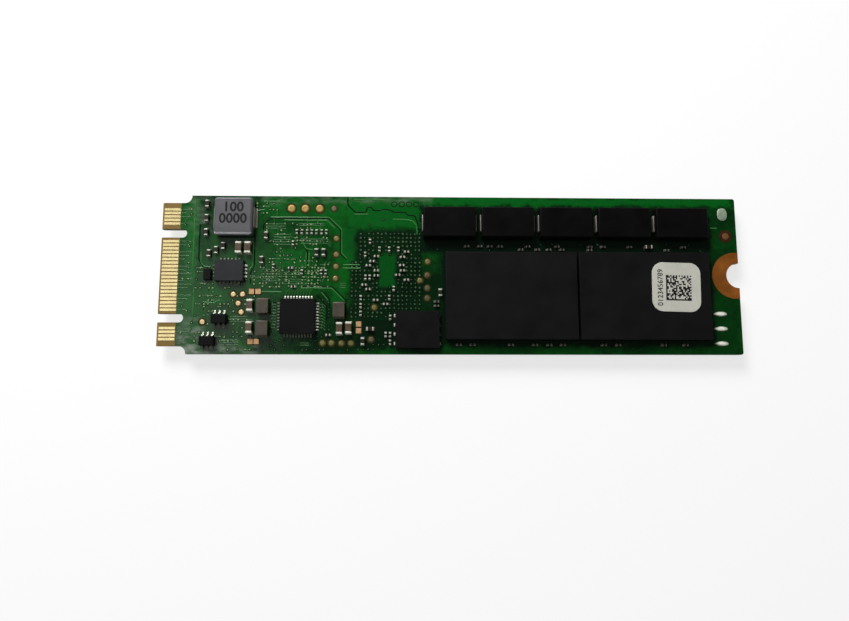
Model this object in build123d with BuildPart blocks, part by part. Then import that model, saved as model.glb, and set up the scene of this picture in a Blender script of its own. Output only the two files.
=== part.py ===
"""Solid-state drive card: a keyed 22 x 80 mm circuit card with parts on both faces.

The card lies flat, photographed face up. X runs along it from the edge contacts (-X) to
the screw end (+X), Y across it and Z up. The origin is the middle of the underside, where
the packages of the hidden face rest. Sizes are in millimetres.
"""

import os

from build123d import *

# Card, edge contacts and keys
CARD_THICKNESS = 0.8
CARD_CORNER_RADIUS = 0.3
TAB_DEPTH = 4.0
SHOULDER_ROUND_RATIO = 0.93
BEVEL_DEPTH = 0.3
BEVEL_HEIGHT = 0.2
KEY_WIDTH = 1.2
KEY_DEPTH = 3.5
PIN_COUNT = 75
PIN_STEP = 0.25
KEY_B_PINS = range(12, 20)
KEY_M_PINS = range(59, 67)
CONTACT_LENGTH = 2.2
CONTACT_WIDTH = 0.35
CONTACT_SIDE_MARGIN = 0.5
COPPER = 0.04

# Half-round screw notch with its copper rings
NOTCH_RADIUS = 1.75
RING_RADIUS = 3.25
RING_INSET = 0.5

# Ball-grid packages: memory, controller and buffer memory
BALL_HEIGHT = 0.22
BALL_RADIUS = 0.21
BALL_SIDES = 4
PACKAGE_BODY = 0.98
PACKAGE_EDGE = 0.05
MEMORY_COUNT = 2
MEMORY_LENGTH = 18.0
MEMORY_WIDTH = 12.0
MEMORY_GAP = 0.3
MEMORY_FLASH_GAP = 0.63
MEMORY_END_MARGIN = 4.6
MEMORY_EDGE_MARGIN = 2.0
MEMORY_BALL_PITCH = 1.0
CONTROLLER_SIZE = 11.0
CONTROLLER_BALL_PITCH = 0.8
CONTROLLER_MEMORY_GAP = 2.6
CONTROLLER_ACROSS = 10.6
BUFFER_LENGTH = 8.0
BUFFER_WIDTH = 10.6
BUFFER_BALL_PITCH = 0.8
BUFFER_SPOT = (18.5, 8.4)

# Hold-up capacitors in a row by the upper long edge
HOLDUP_COUNT = 5
HOLDUP_LENGTH = 7.3
HOLDUP_WIDTH = 4.3
HOLDUP_HEIGHT = 1.5
HOLDUP_PARTING = 0.75
HOLDUP_DRAFT = 7.0
HOLDUP_GAP = 0.75
HOLDUP_EDGE_MARGIN = 1.7
HOLDUP_MEMORY_GAP = 2.0
HOLDUP_END_MARGIN = 4.5
HOLDUP_TERMINAL_WIDTH = 2.3
HOLDUP_FOOT = 1.3
TERMINAL_SHEET = 0.12

# Moulded power inductor
INDUCTOR_LENGTH = 5.2
INDUCTOR_WIDTH = 5.2
INDUCTOR_HEIGHT = 1.5
INDUCTOR_CORNER = 0.45
INDUCTOR_TOP_EDGE = 0.2
INDUCTOR_TERMINAL_WIDTH = 2.9
INDUCTOR_TERMINAL_HEIGHT = 0.95
INDUCTOR_FOOT = 1.1
INDUCTOR_SPOT = (10.1, 3.2)

# Flat chips whose leads end in solder toes round the body
LEAD_HEIGHT = 0.2
LEAD_IN_BODY = 0.3
LEAD_EDGE = 0.11
REGULATOR_SIZE = (3.9, 2.9, 0.85)
REGULATOR_TOE = 0.4
REGULATOR_LEAD_COUNTS = (6, 4)
REGULATOR_PITCH = 0.5
REGULATOR_LEAD_WIDTH = 0.26
REGULATOR_SPOT = (9.6, 10.65)
MANAGER_SIZE = (4.75, 4.75, 0.85)
MANAGER_TOE = 0.48
MANAGER_LEAD_COUNTS = (10, 10)
MANAGER_PITCH = 0.4
MANAGER_LEAD_WIDTH = 0.2
MANAGER_SPOT = (19.03, -5.1)
FLASH_SIZE = (6.0, 5.0, 0.78)
FLASH_TOE = 0.22
FLASH_LEAD_COUNTS = (0, 4)
FLASH_PITCH = 1.27
FLASH_LEAD_WIDTH = 0.42
FLASH_START = 32.03
FLASH_ACROSS = -3.35
DIODE_SIZE = (1.0, 1.5, 0.55)
DIODE_CLEARANCE = 0.13

# Six-lead logic packages with gull-wing leads
GATE_LENGTH = 2.0
GATE_WIDTH = 1.25
GATE_HEIGHT = 0.9
GATE_STANDOFF = 0.06
GATE_PITCH = 0.65
GATE_LEADS_A_SIDE = 3
GATE_LEAD_WIDTH = 0.24
GATE_LEAD_SHEET = 0.13
GATE_LEAD_RUN = 0.2
GATE_LEAD_FOOT = 0.4
GATE_SPOTS = [(8.45, -4.73), (6.98, -1.75)]

# Two-ended chips, as (length, width, height, end cap length)
COIL_CHIP = (2.0, 1.6, 1.0, 0.4)
CAPACITOR_CHIP = (1.6, 0.8, 0.8, 0.3)
SMALL_CHIP = (1.0, 0.5, 0.5, 0.22)
TINY_CHIP = (0.6, 0.3, 0.3, 0.16)
END_CAP_WRAP = 0.02

# Flat copper and tin on the upper face
PAD_SIDES = 16
PROBE_RADIUS = 0.5
POINT_RADIUS = 0.33
FIDUCIAL_RADIUS = 0.45
BARE_PAD = 0.72
TIN_HEIGHT = 0.1
TIN_BAR_LENGTH = 2.0
TIN_BAR_WIDTH = 0.7
TIN_BAR_PITCH = 2.05
TIN_BAR_COUNT = 3
TIN_BAR_FIRST = (-2.95, -1.5)
TIN_SPOT_LENGTH = 1.4
TIN_SPOT_WIDTH = 1.8
TIN_SPOT = (-1.85, 2.25)

# Paper label on the memory nearest the screw
LABEL_LENGTH = 6.7
LABEL_WIDTH = 6.8
LABEL_CORNER = 1.5
LABEL_SHEET = 0.08
LABEL_OFFSET = (4.25, 1.15)
LABEL_TURN = -1.5

# Places on the card as (along, across). Along counts from the contact edge, or back from
# the screw end when negative. Across counts from the upper long edge, or from the lower
# long edge when negative. Upright chips lie across the card, lying ones along it.
COILS_UPRIGHT = [(14.3, -6.46), (14.3, -3.45), (24.6, -5.97)]
CAPACITORS_UPRIGHT = [
    (10.75, 7.42), (12.0, 7.42), (12.53, -6.6), (12.53, -3.58), (24.68, -3.48), (25.92, -3.55),
]
SMALL_UPRIGHT = [
    (6.2, 1.22), (6.2, 3.25), (6.2, 5.25), (6.7, 8.2), (7.65, 7.75), (8.6, 7.15),
    (14.4, 5.65), (13.9, 9.1), (27.83, -1.73), (38.38, -8.45),
]
SMALL_LYING = [(28.83, -3.42), (-12.58, 7.05)]
RESISTORS_UPRIGHT = [(21.37, 8.0), (22.34, 8.0)]
TINY_UPRIGHT = [
    (18.6, 5.1), (19.3, 5.1), (20.0, 5.1), (20.65, 5.1), (21.3, 5.1), (22.0, 5.1), (22.65, 5.1),
    (18.1, 6.7), (15.5, 9.95), (19.4, 10.75), (22.05, 10.75), (22.65, 10.75),
    (27.5, -7.7), (27.5, -6.6), (27.5, -5.55), (31.55, -5.0), (31.55, -2.65), (30.95, -2.65),
    (31.55, -1.6), (30.0, 7.5), (31.35, 7.5), (32.6, 7.5), (28.7, 6.4), (28.05, 8.25),
    (28.1, 11.45), (28.7, 11.45), (32.0, -9.0), (31.4, -7.75),
]
TINY_LYING = [
    (17.85, 10.2), (18.3, -9.2), (23.15, -2.6), (33.75, 7.85), (33.2, 8.6), (33.1, 9.75),
    (33.2, 10.5), (32.55, 11.1), (33.75, 11.8), (29.6, 8.5), (29.0, 9.2), (28.5, 9.8),
    (29.6, 10.5), (29.6, 11.2), (27.95, -9.5), (28.5, -8.9), (30.9, -6.85), (29.55, -7.4),
    (37.9, -6.6), (37.9, -7.2),
]
# Tiny chips in rows beside each memory: gap from its upper or lower (negative) edge, then
# the places along it from its middle, for the first memory and the next
MEMORY_CHIP_ROWS = [
    (0.95, [(-6.0, -4.2, -2.8, -1.4, 2.45, 6.55), (-7.15, -5.3, -1.6, 5.95)]),
    (0.5, [(1.5, 3.8, 5.4, 7.2), (-7.2, 3.6)]),
    (-0.7, [(-7.2, -5.35, -0.1, 3.2, 5.15, 7.0), (-5.65, -3.7, 2.6, 5.6)]),
]
PROBE_SPOTS = [(17.75, 1.75), (19.65, 1.75), (21.65, 1.75)]
POINT_SPOTS = [
    (24.05, 6.0), (24.05, 8.25), (24.05, 9.95), (24.0, 11.6), (10.15, -8.15), (11.4, -8.15),
    (10.85, -6.9), (11.3, -5.7), (6.1, -4.35), (22.4, -1.5), (23.6, -1.5), (24.95, -1.5),
    (26.25, -1.5), (29.35, -6.4), (35.6, 11.85), (36.65, 9.2),
]
TINNED_POINT_SPOTS = [(23.65, 1.75), (28.95, -2.0), (36.6, 11.1), (36.6, -9.1), (36.6, -7.7)]
FIDUCIAL_SPOT = (-1.55, 5.4)
BARE_PAD_SPOTS = [
    (12.6, -8.55), (13.5, -8.55), (12.65, -1.7), (13.45, -1.7), (27.25, -4.1), (27.25, -3.2),
]

# The contacts set the tab's width. The rows of large parts set the card's width, and the
# firmware chip with the memory after it sets its length.
TAB_WIDTH = (PIN_COUNT - 1) * PIN_STEP + CONTACT_WIDTH + 2 * CONTACT_SIDE_MARGIN
CARD_WIDTH = (
    MEMORY_EDGE_MARGIN + MEMORY_WIDTH + HOLDUP_MEMORY_GAP + HOLDUP_WIDTH + HOLDUP_EDGE_MARGIN
)
FLASH_SPOT = (FLASH_START + FLASH_TOE + FLASH_SIZE[0] / 2, FLASH_ACROSS)
MEMORY_START = FLASH_SPOT[0] + FLASH_SIZE[0] / 2 + FLASH_TOE + MEMORY_FLASH_GAP
MEMORY_PITCH = MEMORY_LENGTH + MEMORY_GAP
MEMORY_RUN = MEMORY_COUNT * MEMORY_PITCH - MEMORY_GAP
CARD_LENGTH = MEMORY_START + MEMORY_RUN + MEMORY_END_MARGIN
CONTROLLER_SPOT = (
    MEMORY_START - CONTROLLER_MEMORY_GAP - CONTROLLER_SIZE / 2, CONTROLLER_ACROSS
)
CARD_BOTTOM = PACKAGE_BODY + BALL_HEIGHT
CARD_TOP = CARD_BOTTOM + CARD_THICKNESS
ON_FLOOR = (Align.CENTER, Align.CENTER, Align.MIN)

os.makedirs("parts", exist_ok=True)


def write(piece, label):
    """Names a finished piece and writes its file."""
    piece.part.label = label
    export_step(piece.part, f"parts/{label}.step")


def spot(along, across):
    """Turns a place on the card into X and Y."""
    end = -CARD_LENGTH / 2 if along > 0 else CARD_LENGTH / 2
    edge = CARD_WIDTH / 2 if across > 0 else -CARD_WIDTH / 2
    return (end + along, edge - across)


def seats(upright, lying):
    """Seats on the upper face for chips whose length runs along their own X."""
    return [Location((*spot(*place), CARD_TOP), (0, 0, 90)) for place in upright] + [
        Location((*spot(*place), CARD_TOP)) for place in lying
    ]


def pin_place(pin):
    """Place across the card of a numbered edge contact."""
    return PIN_STEP * ((PIN_COUNT + 1) / 2 - pin)


def key_place(pins):
    """Middle of the key slot that takes the place of these contacts."""
    return pin_place((pins[0] + pins[-1]) / 2)


# Card

tab_end = -CARD_LENGTH / 2
screw_end = CARD_LENGTH / 2

with BuildPart() as circuit_card:
    with BuildSketch(Plane.XY.offset(CARD_BOTTOM)):
        with Locations((TAB_DEPTH / 2, 0)):
            Rectangle(CARD_LENGTH - TAB_DEPTH, CARD_WIDTH)
        with Locations((tab_end + TAB_DEPTH / 2, 0)):
            Rectangle(TAB_DEPTH, TAB_WIDTH)
        across_groups = vertices().group_by(Axis.X)
        shoulders = across_groups[1].sort_by(Axis.Y)
        fillet(shoulders[1:-1], (CARD_WIDTH - TAB_WIDTH) / 2 * SHOULDER_ROUND_RATIO)
        fillet(vertices().group_by(Axis.X)[-1], CARD_CORNER_RADIUS)
        for pins in (KEY_B_PINS, KEY_M_PINS):
            with Locations((tab_end, key_place(pins))):
                SlotCenterToCenter(2 * KEY_DEPTH - KEY_WIDTH, KEY_WIDTH, mode=Mode.SUBTRACT)
        with Locations((screw_end, 0)):
            Circle(NOTCH_RADIUS, mode=Mode.SUBTRACT)
    extrude(amount=CARD_THICKNESS)
    leading = faces().sort_by(Axis.X).filter_by(Axis.X).group_by(Axis.X)[0].edges().filter_by(Axis.Y)
    chamfer(leading, BEVEL_HEIGHT, BEVEL_DEPTH)
write(circuit_card, "circuit_card")

# Edge contacts: even pins on the upper face, odd pins on the hidden one

for label, first_pin, base in (
    ("contact_fingers_upper", 2, CARD_TOP),
    ("contact_fingers_lower", 1, CARD_BOTTOM - COPPER),
):
    rows = [
        pin_place(pin)
        for pin in range(first_pin, PIN_COUNT + 1, 2)
        if pin not in KEY_B_PINS and pin not in KEY_M_PINS
    ]
    with BuildPart() as contact_fingers:
        with BuildSketch(Plane.XY.offset(base)):
            with Locations(*[(tab_end + BEVEL_DEPTH + CONTACT_LENGTH / 2, y) for y in rows]):
                Rectangle(CONTACT_LENGTH, CONTACT_WIDTH)
        extrude(amount=COPPER)
    write(contact_fingers, label)

# Copper rings that take the screw head, one on each face

for label, base in (("screw_ring_upper", CARD_TOP), ("screw_ring_lower", CARD_BOTTOM - COPPER)):
    with BuildPart() as screw_ring:
        with BuildSketch(Plane.XY.offset(base)):
            with Locations((screw_end - RING_INSET, 0)):
                Circle(RING_RADIUS)
            with Locations((screw_end, 0)):
                Circle(NOTCH_RADIUS, mode=Mode.SUBTRACT)
            Rectangle(CARD_LENGTH, CARD_WIDTH, mode=Mode.INTERSECT)
        extrude(amount=COPPER)
    write(screw_ring, label)

# Bare copper and tinned places on the upper face


def discs(places, radius, height):
    """Round pads on the upper face, drawn with few sides because there are many."""
    with BuildPart() as pads:
        with BuildSketch(Plane.XY.offset(CARD_TOP)):
            with Locations(*[spot(*place) for place in places]):
                RegularPolygon(radius, PAD_SIDES)
        extrude(amount=height)
    return pads


write(discs(PROBE_SPOTS, PROBE_RADIUS, COPPER), "probe_pads")
write(discs(POINT_SPOTS, POINT_RADIUS, COPPER), "test_points")
write(discs(TINNED_POINT_SPOTS, POINT_RADIUS, COPPER), "tinned_points")
write(discs([FIDUCIAL_SPOT], FIDUCIAL_RADIUS, COPPER), "fiducial")

with BuildPart() as bare_pads:
    with BuildSketch(Plane.XY.offset(CARD_TOP)):
        with Locations(*[spot(*place) for place in BARE_PAD_SPOTS]):
            Rectangle(BARE_PAD, BARE_PAD)
    extrude(amount=COPPER)
write(bare_pads, "bare_pads")

with BuildPart() as tin_bars:
    along, across = TIN_BAR_FIRST
    with BuildSketch(Plane.XY.offset(CARD_TOP)):
        with Locations(*[spot(along, across - TIN_BAR_PITCH * n) for n in range(TIN_BAR_COUNT)]):
            SlotOverall(TIN_BAR_LENGTH, TIN_BAR_WIDTH)
    extrude(amount=TIN_HEIGHT, taper=30)
write(tin_bars, "tin_bars")

with BuildPart() as tin_spot:
    with BuildSketch(Plane.XY.offset(CARD_TOP)):
        with Locations(spot(*TIN_SPOT)):
            Ellipse(TIN_SPOT_LENGTH / 2, TIN_SPOT_WIDTH / 2)
    extrude(amount=TIN_HEIGHT)
write(tin_spot, "tin_spot")

# Ball-grid packages


def package(centre, length, width, base):
    """Moulded body of a ball-grid package, from its base up."""
    with BuildPart() as body:
        with BuildSketch(Plane.XY.offset(base)):
            with Locations(centre):
                Rectangle(length, width)
        extrude(amount=PACKAGE_BODY)
        outer = body.edges().group_by(Axis.Z)[-1 if base > CARD_TOP else 0]
        chamfer(outer, PACKAGE_EDGE)
    return body


def ball_ring(centre, length, width, pitch):
    """Places of the outermost solder balls that fit under a package."""
    columns = int((length - pitch) / pitch)
    rows = int((width - pitch) / pitch)
    places = []
    for column in range(columns):
        for row in range(rows):
            if column in (0, columns - 1) or row in (0, rows - 1):
                x = centre[0] + (column - (columns - 1) / 2) * pitch
                y = centre[1] + (row - (rows - 1) / 2) * pitch
                places.append((x, y))
    return places


def balls(places, base):
    """Solder balls between a package and the card, as short four-sided columns."""
    with BuildPart() as ring:
        with BuildSketch(Plane.XY.offset(base)):
            with Locations(*places):
                RegularPolygon(BALL_RADIUS, BALL_SIDES)
        extrude(amount=BALL_HEIGHT)
    return ring


memory_row = -CARD_WIDTH / 2 + MEMORY_EDGE_MARGIN + MEMORY_WIDTH / 2
memory_first = tab_end + MEMORY_START + MEMORY_LENGTH / 2
memory_centres = [(memory_first + MEMORY_PITCH * n, memory_row) for n in range(MEMORY_COUNT)]
memory_ball_places = [
    place
    for centre in memory_centres
    for place in ball_ring(centre, MEMORY_LENGTH, MEMORY_WIDTH, MEMORY_BALL_PITCH)
]
for number, centre in enumerate(memory_centres, 1):
    upper = package(centre, MEMORY_LENGTH, MEMORY_WIDTH, CARD_TOP + BALL_HEIGHT)
    write(upper, f"memory_upper_{number}")
    lower = package(centre, MEMORY_LENGTH, MEMORY_WIDTH, 0)
    write(lower, f"memory_lower_{number}")
write(balls(memory_ball_places, CARD_TOP), "memory_balls_upper")
write(balls(memory_ball_places, PACKAGE_BODY), "memory_balls_lower")

controller_centre = spot(*CONTROLLER_SPOT)
buffer_centre = spot(*BUFFER_SPOT)
write(package(controller_centre, CONTROLLER_SIZE, CONTROLLER_SIZE, 0), "controller")
write(package(buffer_centre, BUFFER_LENGTH, BUFFER_WIDTH, 0), "buffer_memory")
logic_ball_places = ball_ring(
    controller_centre, CONTROLLER_SIZE, CONTROLLER_SIZE, CONTROLLER_BALL_PITCH
) + ball_ring(buffer_centre, BUFFER_LENGTH, BUFFER_WIDTH, BUFFER_BALL_PITCH)
write(balls(logic_ball_places, PACKAGE_BODY), "logic_balls")

# Parts with bent sheet terminals: hold-up capacitors and power inductor


def bent_terminals(centre, length, width, height, foot):
    """Two sheet terminals that run down a body's ends and turn in under it."""
    with BuildPart() as terminals:
        for side in (-1, 1):
            with BuildSketch(Plane.XZ.offset(-centre[1])):
                with BuildLine():
                    outer = centre[0] + side * (length / 2 + TERMINAL_SHEET)
                    inner = centre[0] + side * length / 2
                    toe = centre[0] + side * (length / 2 - foot)
                    Polyline(
                        (outer, CARD_TOP),
                        (outer, CARD_TOP + height),
                        (inner, CARD_TOP + height),
                        (inner, CARD_TOP + TERMINAL_SHEET),
                        (toe, CARD_TOP + TERMINAL_SHEET),
                        (toe, CARD_TOP),
                        close=True,
                    )
                make_face()
            extrude(amount=width / 2, both=True)
    return terminals


holdup_row = CARD_WIDTH / 2 - HOLDUP_EDGE_MARGIN - HOLDUP_WIDTH / 2
holdup_last = screw_end - HOLDUP_END_MARGIN - HOLDUP_LENGTH / 2
for number in range(1, HOLDUP_COUNT + 1):
    centre = (holdup_last - (HOLDUP_LENGTH + HOLDUP_GAP) * (HOLDUP_COUNT - number), holdup_row)
    with BuildPart() as holdup_body:
        with BuildSketch(Plane.XY.offset(CARD_TOP + TERMINAL_SHEET)):
            with Locations(centre):
                Rectangle(HOLDUP_LENGTH, HOLDUP_WIDTH)
        extrude(amount=HOLDUP_PARTING - TERMINAL_SHEET)
        with BuildSketch(Plane.XY.offset(CARD_TOP + HOLDUP_PARTING)):
            with Locations(centre):
                Rectangle(HOLDUP_LENGTH, HOLDUP_WIDTH)
        extrude(amount=HOLDUP_HEIGHT - HOLDUP_PARTING, taper=HOLDUP_DRAFT)
    write(holdup_body, f"holdup_capacitor_{number}")
    pair = bent_terminals(
        centre, HOLDUP_LENGTH, HOLDUP_TERMINAL_WIDTH, HOLDUP_PARTING, HOLDUP_FOOT
    )
    write(pair, f"holdup_terminals_{number}")

inductor_centre = spot(*INDUCTOR_SPOT)
with BuildPart() as inductor_body:
    with BuildSketch(Plane.XY.offset(CARD_TOP + TERMINAL_SHEET)):
        with Locations(inductor_centre):
            RectangleRounded(INDUCTOR_LENGTH, INDUCTOR_WIDTH, INDUCTOR_CORNER)
    extrude(amount=INDUCTOR_HEIGHT - TERMINAL_SHEET)
    chamfer(inductor_body.edges().group_by(Axis.Z)[-1], INDUCTOR_TOP_EDGE)
write(inductor_body, "power_inductor")
inductor_pair = bent_terminals(
    inductor_centre,
    INDUCTOR_LENGTH,
    INDUCTOR_TERMINAL_WIDTH,
    INDUCTOR_TERMINAL_HEIGHT,
    INDUCTOR_FOOT,
)
write(inductor_pair, "power_inductor_terminals")

# Flat chips with leads set into the foot of the body


def lead_seats(centre, size, counts, pitch):
    """Seats of the leads round a flat chip, each with its own X pointing outwards."""
    on_length, on_width = counts
    places = []
    for side in (-1, 1):
        for n in range(on_length):
            x = centre[0] + (n - (on_length - 1) / 2) * pitch
            places.append(Location((x, centre[1] + side * size[1] / 2, CARD_TOP), (0, 0, 90 * side)))
        for n in range(on_width):
            y = centre[1] + (n - (on_width - 1) / 2) * pitch
            turn = 0 if side > 0 else 180
            places.append(Location((centre[0] + side * size[0] / 2, y, CARD_TOP), (0, 0, turn)))
    return places


def flat_chip(label, centre, size, counts, pitch, lead_width, toe):
    """Writes a flat chip's body and its leads."""
    places = lead_seats(centre, size, counts, pitch)
    pocket = (Align.MAX, Align.CENTER, Align.MIN)
    with BuildPart() as body:
        with Locations((*centre, CARD_TOP)):
            Box(*size, align=ON_FLOOR)
        with Locations(*places):
            Box(LEAD_IN_BODY, lead_width, LEAD_HEIGHT, align=pocket, mode=Mode.SUBTRACT)
    write(body, label)
    with BuildPart() as leads:
        with Locations(*places):
            Box(LEAD_IN_BODY, lead_width, LEAD_HEIGHT, align=pocket)
            Box(toe, lead_width, LEAD_HEIGHT, align=(Align.MIN, Align.CENTER, Align.MIN))
        toes = leads.edges().filter_by(Axis.Z, reverse=True).group_by(Axis.Z)[-1]
        outward = [edge for edge in toes if is_outer(edge, centre, size, toe)]
        chamfer(outward, LEAD_EDGE)
    write(leads, f"{label}_leads")


def is_outer(edge, centre, size, toe):
    """Whether an edge of a lead is the top of its toe, clear of the chip's body."""
    middle = edge.center()
    past_end = abs(middle.X - centre[0]) > size[0] / 2 + toe * 0.75
    past_side = abs(middle.Y - centre[1]) > size[1] / 2 + toe * 0.75
    return past_end or past_side


regulator_centre = spot(*REGULATOR_SPOT)
flat_chip(
    "regulator", regulator_centre, REGULATOR_SIZE, REGULATOR_LEAD_COUNTS, REGULATOR_PITCH,
    REGULATOR_LEAD_WIDTH, REGULATOR_TOE,
)
flat_chip(
    "power_manager", spot(*MANAGER_SPOT), MANAGER_SIZE, MANAGER_LEAD_COUNTS, MANAGER_PITCH,
    MANAGER_LEAD_WIDTH, MANAGER_TOE,
)
flat_chip(
    "firmware_flash", spot(*FLASH_SPOT), FLASH_SIZE, FLASH_LEAD_COUNTS, FLASH_PITCH,
    FLASH_LEAD_WIDTH, FLASH_TOE,
)

with BuildPart() as clamp_diode:
    left = regulator_centre[0] - REGULATOR_SIZE[0] / 2 - REGULATOR_TOE - DIODE_CLEARANCE
    with Locations((left - DIODE_SIZE[0] / 2, regulator_centre[1] - DIODE_SIZE[1] / 3, CARD_TOP)):
        Box(*DIODE_SIZE, align=ON_FLOOR)
write(clamp_diode, "clamp_diode")

# Logic packages with gull-wing leads

gate_foot_end = GATE_WIDTH / 2 + GATE_LEAD_RUN + GATE_LEAD_FOOT
gate_middle = GATE_STANDOFF + (GATE_HEIGHT - GATE_STANDOFF) / 2
for number, place in enumerate(GATE_SPOTS, 1):
    x, y = spot(*place)
    with BuildPart() as gate:
        with Locations((x, y, CARD_TOP + GATE_STANDOFF)):
            Box(GATE_LENGTH, GATE_WIDTH, GATE_HEIGHT - GATE_STANDOFF, align=ON_FLOOR)
        chamfer(gate.edges().group_by(Axis.Z)[-1], PACKAGE_EDGE)
    write(gate, f"logic_gate_{number}")
    with BuildPart() as gate_leads:
        for n in range(GATE_LEADS_A_SIDE):
            lead_plane = Plane.YZ.offset(x + (n - (GATE_LEADS_A_SIDE - 1) / 2) * GATE_PITCH)
            for side in (-1, 1):
                with BuildSketch(lead_plane):
                    with BuildLine():
                        root = y + side * GATE_WIDTH / 2
                        bend = root + side * GATE_LEAD_RUN
                        toe = y + side * gate_foot_end
                        high = CARD_TOP + gate_middle + GATE_LEAD_SHEET / 2
                        Polyline(
                            (root, high),
                            (bend, high),
                            (bend, CARD_TOP + GATE_LEAD_SHEET),
                            (toe, CARD_TOP + GATE_LEAD_SHEET),
                            (toe, CARD_TOP),
                            (bend - side * GATE_LEAD_SHEET, CARD_TOP),
                            (bend - side * GATE_LEAD_SHEET, high - GATE_LEAD_SHEET),
                            (root, high - GATE_LEAD_SHEET),
                            close=True,
                        )
                    make_face()
                extrude(amount=GATE_LEAD_WIDTH / 2, both=True)
    write(gate_leads, f"logic_gate_leads_{number}")

# Two-ended chips: a block between two metal end caps


def chip_set(label, places, chip):
    """Writes the bodies and the end caps of a set of like chips."""
    length, width, height, end = chip
    with BuildPart() as bodies:
        with Locations(*places):
            Box(length - 2 * end, width, height, align=ON_FLOOR)
    write(bodies, f"{label}_bodies")
    with BuildPart() as ends:
        with Locations(*places):
            with Locations((end / 2 - length / 2, 0), (length / 2 - end / 2, 0)):
                Box(end, width + 2 * END_CAP_WRAP, height + END_CAP_WRAP, align=ON_FLOOR)
    write(ends, f"{label}_ends")


def memory_row_seats():
    """Seats of the tiny chips beside the memory packages."""
    places = []
    for gap, rows in MEMORY_CHIP_ROWS:
        for (x, y), row in zip(memory_centres, rows):
            edge = MEMORY_WIDTH / 2 if gap > 0 else -MEMORY_WIDTH / 2
            places += [Location((x + along, y + edge + gap, CARD_TOP)) for along in row]
    return places


chip_set("coil_chip", seats(COILS_UPRIGHT, []), COIL_CHIP)
chip_set("capacitor_chip", seats(CAPACITORS_UPRIGHT, []), CAPACITOR_CHIP)
chip_set("small_chip", seats(SMALL_UPRIGHT, SMALL_LYING), SMALL_CHIP)
chip_set("resistor_chip", seats(RESISTORS_UPRIGHT, []), SMALL_CHIP)
chip_set("tiny_chip", seats(TINY_UPRIGHT, TINY_LYING) + memory_row_seats(), TINY_CHIP)

# Paper label

label_centre = (
    memory_centres[-1][0] + LABEL_OFFSET[0],
    memory_centres[-1][1] + LABEL_OFFSET[1],
)
with BuildPart() as code_label:
    with BuildSketch(Plane.XY.offset(CARD_TOP + BALL_HEIGHT + PACKAGE_BODY)):
        with Locations(Location((*label_centre, 0), (0, 0, LABEL_TURN))):
            RectangleRounded(LABEL_LENGTH, LABEL_WIDTH, LABEL_CORNER)
    extrude(amount=LABEL_SHEET)
write(code_label, "code_label")
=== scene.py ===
"""Looks for a solid-state drive card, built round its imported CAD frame.

The file is laid out as an add-on and run as a script. Tables and shapes are written in
millimetres in the card's own frame: X from the edge contacts to the screw end, Y across,
Z up. Blender's own lengths are metres.
"""

import math
import random
from functools import partialmethod, reduce

import bmesh
import bpy
from bpy.props import FloatProperty, FloatVectorProperty, IntProperty, PointerProperty
from bpy.props import StringProperty
from mathutils import Matrix, Vector


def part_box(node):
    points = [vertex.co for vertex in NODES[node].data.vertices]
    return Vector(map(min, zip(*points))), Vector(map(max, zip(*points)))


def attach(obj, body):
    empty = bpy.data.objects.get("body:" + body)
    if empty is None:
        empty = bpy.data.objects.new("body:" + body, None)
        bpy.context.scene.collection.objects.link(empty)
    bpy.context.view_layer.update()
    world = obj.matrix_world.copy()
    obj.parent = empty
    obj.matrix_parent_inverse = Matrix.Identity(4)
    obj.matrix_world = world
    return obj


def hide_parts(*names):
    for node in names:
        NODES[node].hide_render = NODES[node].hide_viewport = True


bl_info = {
    "name": "Drive card looks",
    "version": (1, 0, 0),
    "blender": (4, 5, 0),
    "location": "3D View > Sidebar > Drive card",
    "description": "Dresses a drive card with tracks, solder, packages, a label and a stage",
    "category": "Object",
}

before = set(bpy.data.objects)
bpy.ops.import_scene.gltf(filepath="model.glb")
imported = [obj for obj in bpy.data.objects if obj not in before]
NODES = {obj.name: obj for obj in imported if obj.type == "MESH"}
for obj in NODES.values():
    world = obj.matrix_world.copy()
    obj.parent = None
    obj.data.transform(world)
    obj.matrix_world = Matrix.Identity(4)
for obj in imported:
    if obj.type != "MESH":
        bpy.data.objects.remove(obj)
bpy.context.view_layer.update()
MM = 0.001


def box_of(node):
    """Lowest and highest corner of a CAD node, in millimetres."""
    return [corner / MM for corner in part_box(node)]


CARD_LOW, CARD_HIGH = box_of("circuit_card")
CARD_TOP = CARD_HIGH.z
CARD_BOTTOM = CARD_LOW.z
# Where the mask ends and the bare tab of the contacts begins
MASK_END = -37.45
# How deep skins on the card are sunk into it, so that no gap shows under them
SINK = 0.01
# Roundings of copper, of bent sheet and of leads
FOIL_ROUND = 0.012
SHEET_ROUND = 0.035
LEAD_ROUND = 0.03
# The picture's width and focal length in pixels, and the camera's sensor in millimetres
PICTURE_WIDTH, FOCAL_LENGTH, SENSOR = 849, 650, 36.0
# Seeds of the via fields and of the stubs that leave them
FIELD_SEED, STRAY_SEED, UNDER_SEED, DULL_SEED = 10, 11, 12, 13
STUB_SEED, UNDER_STUB_SEED = 21, 22

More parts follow.
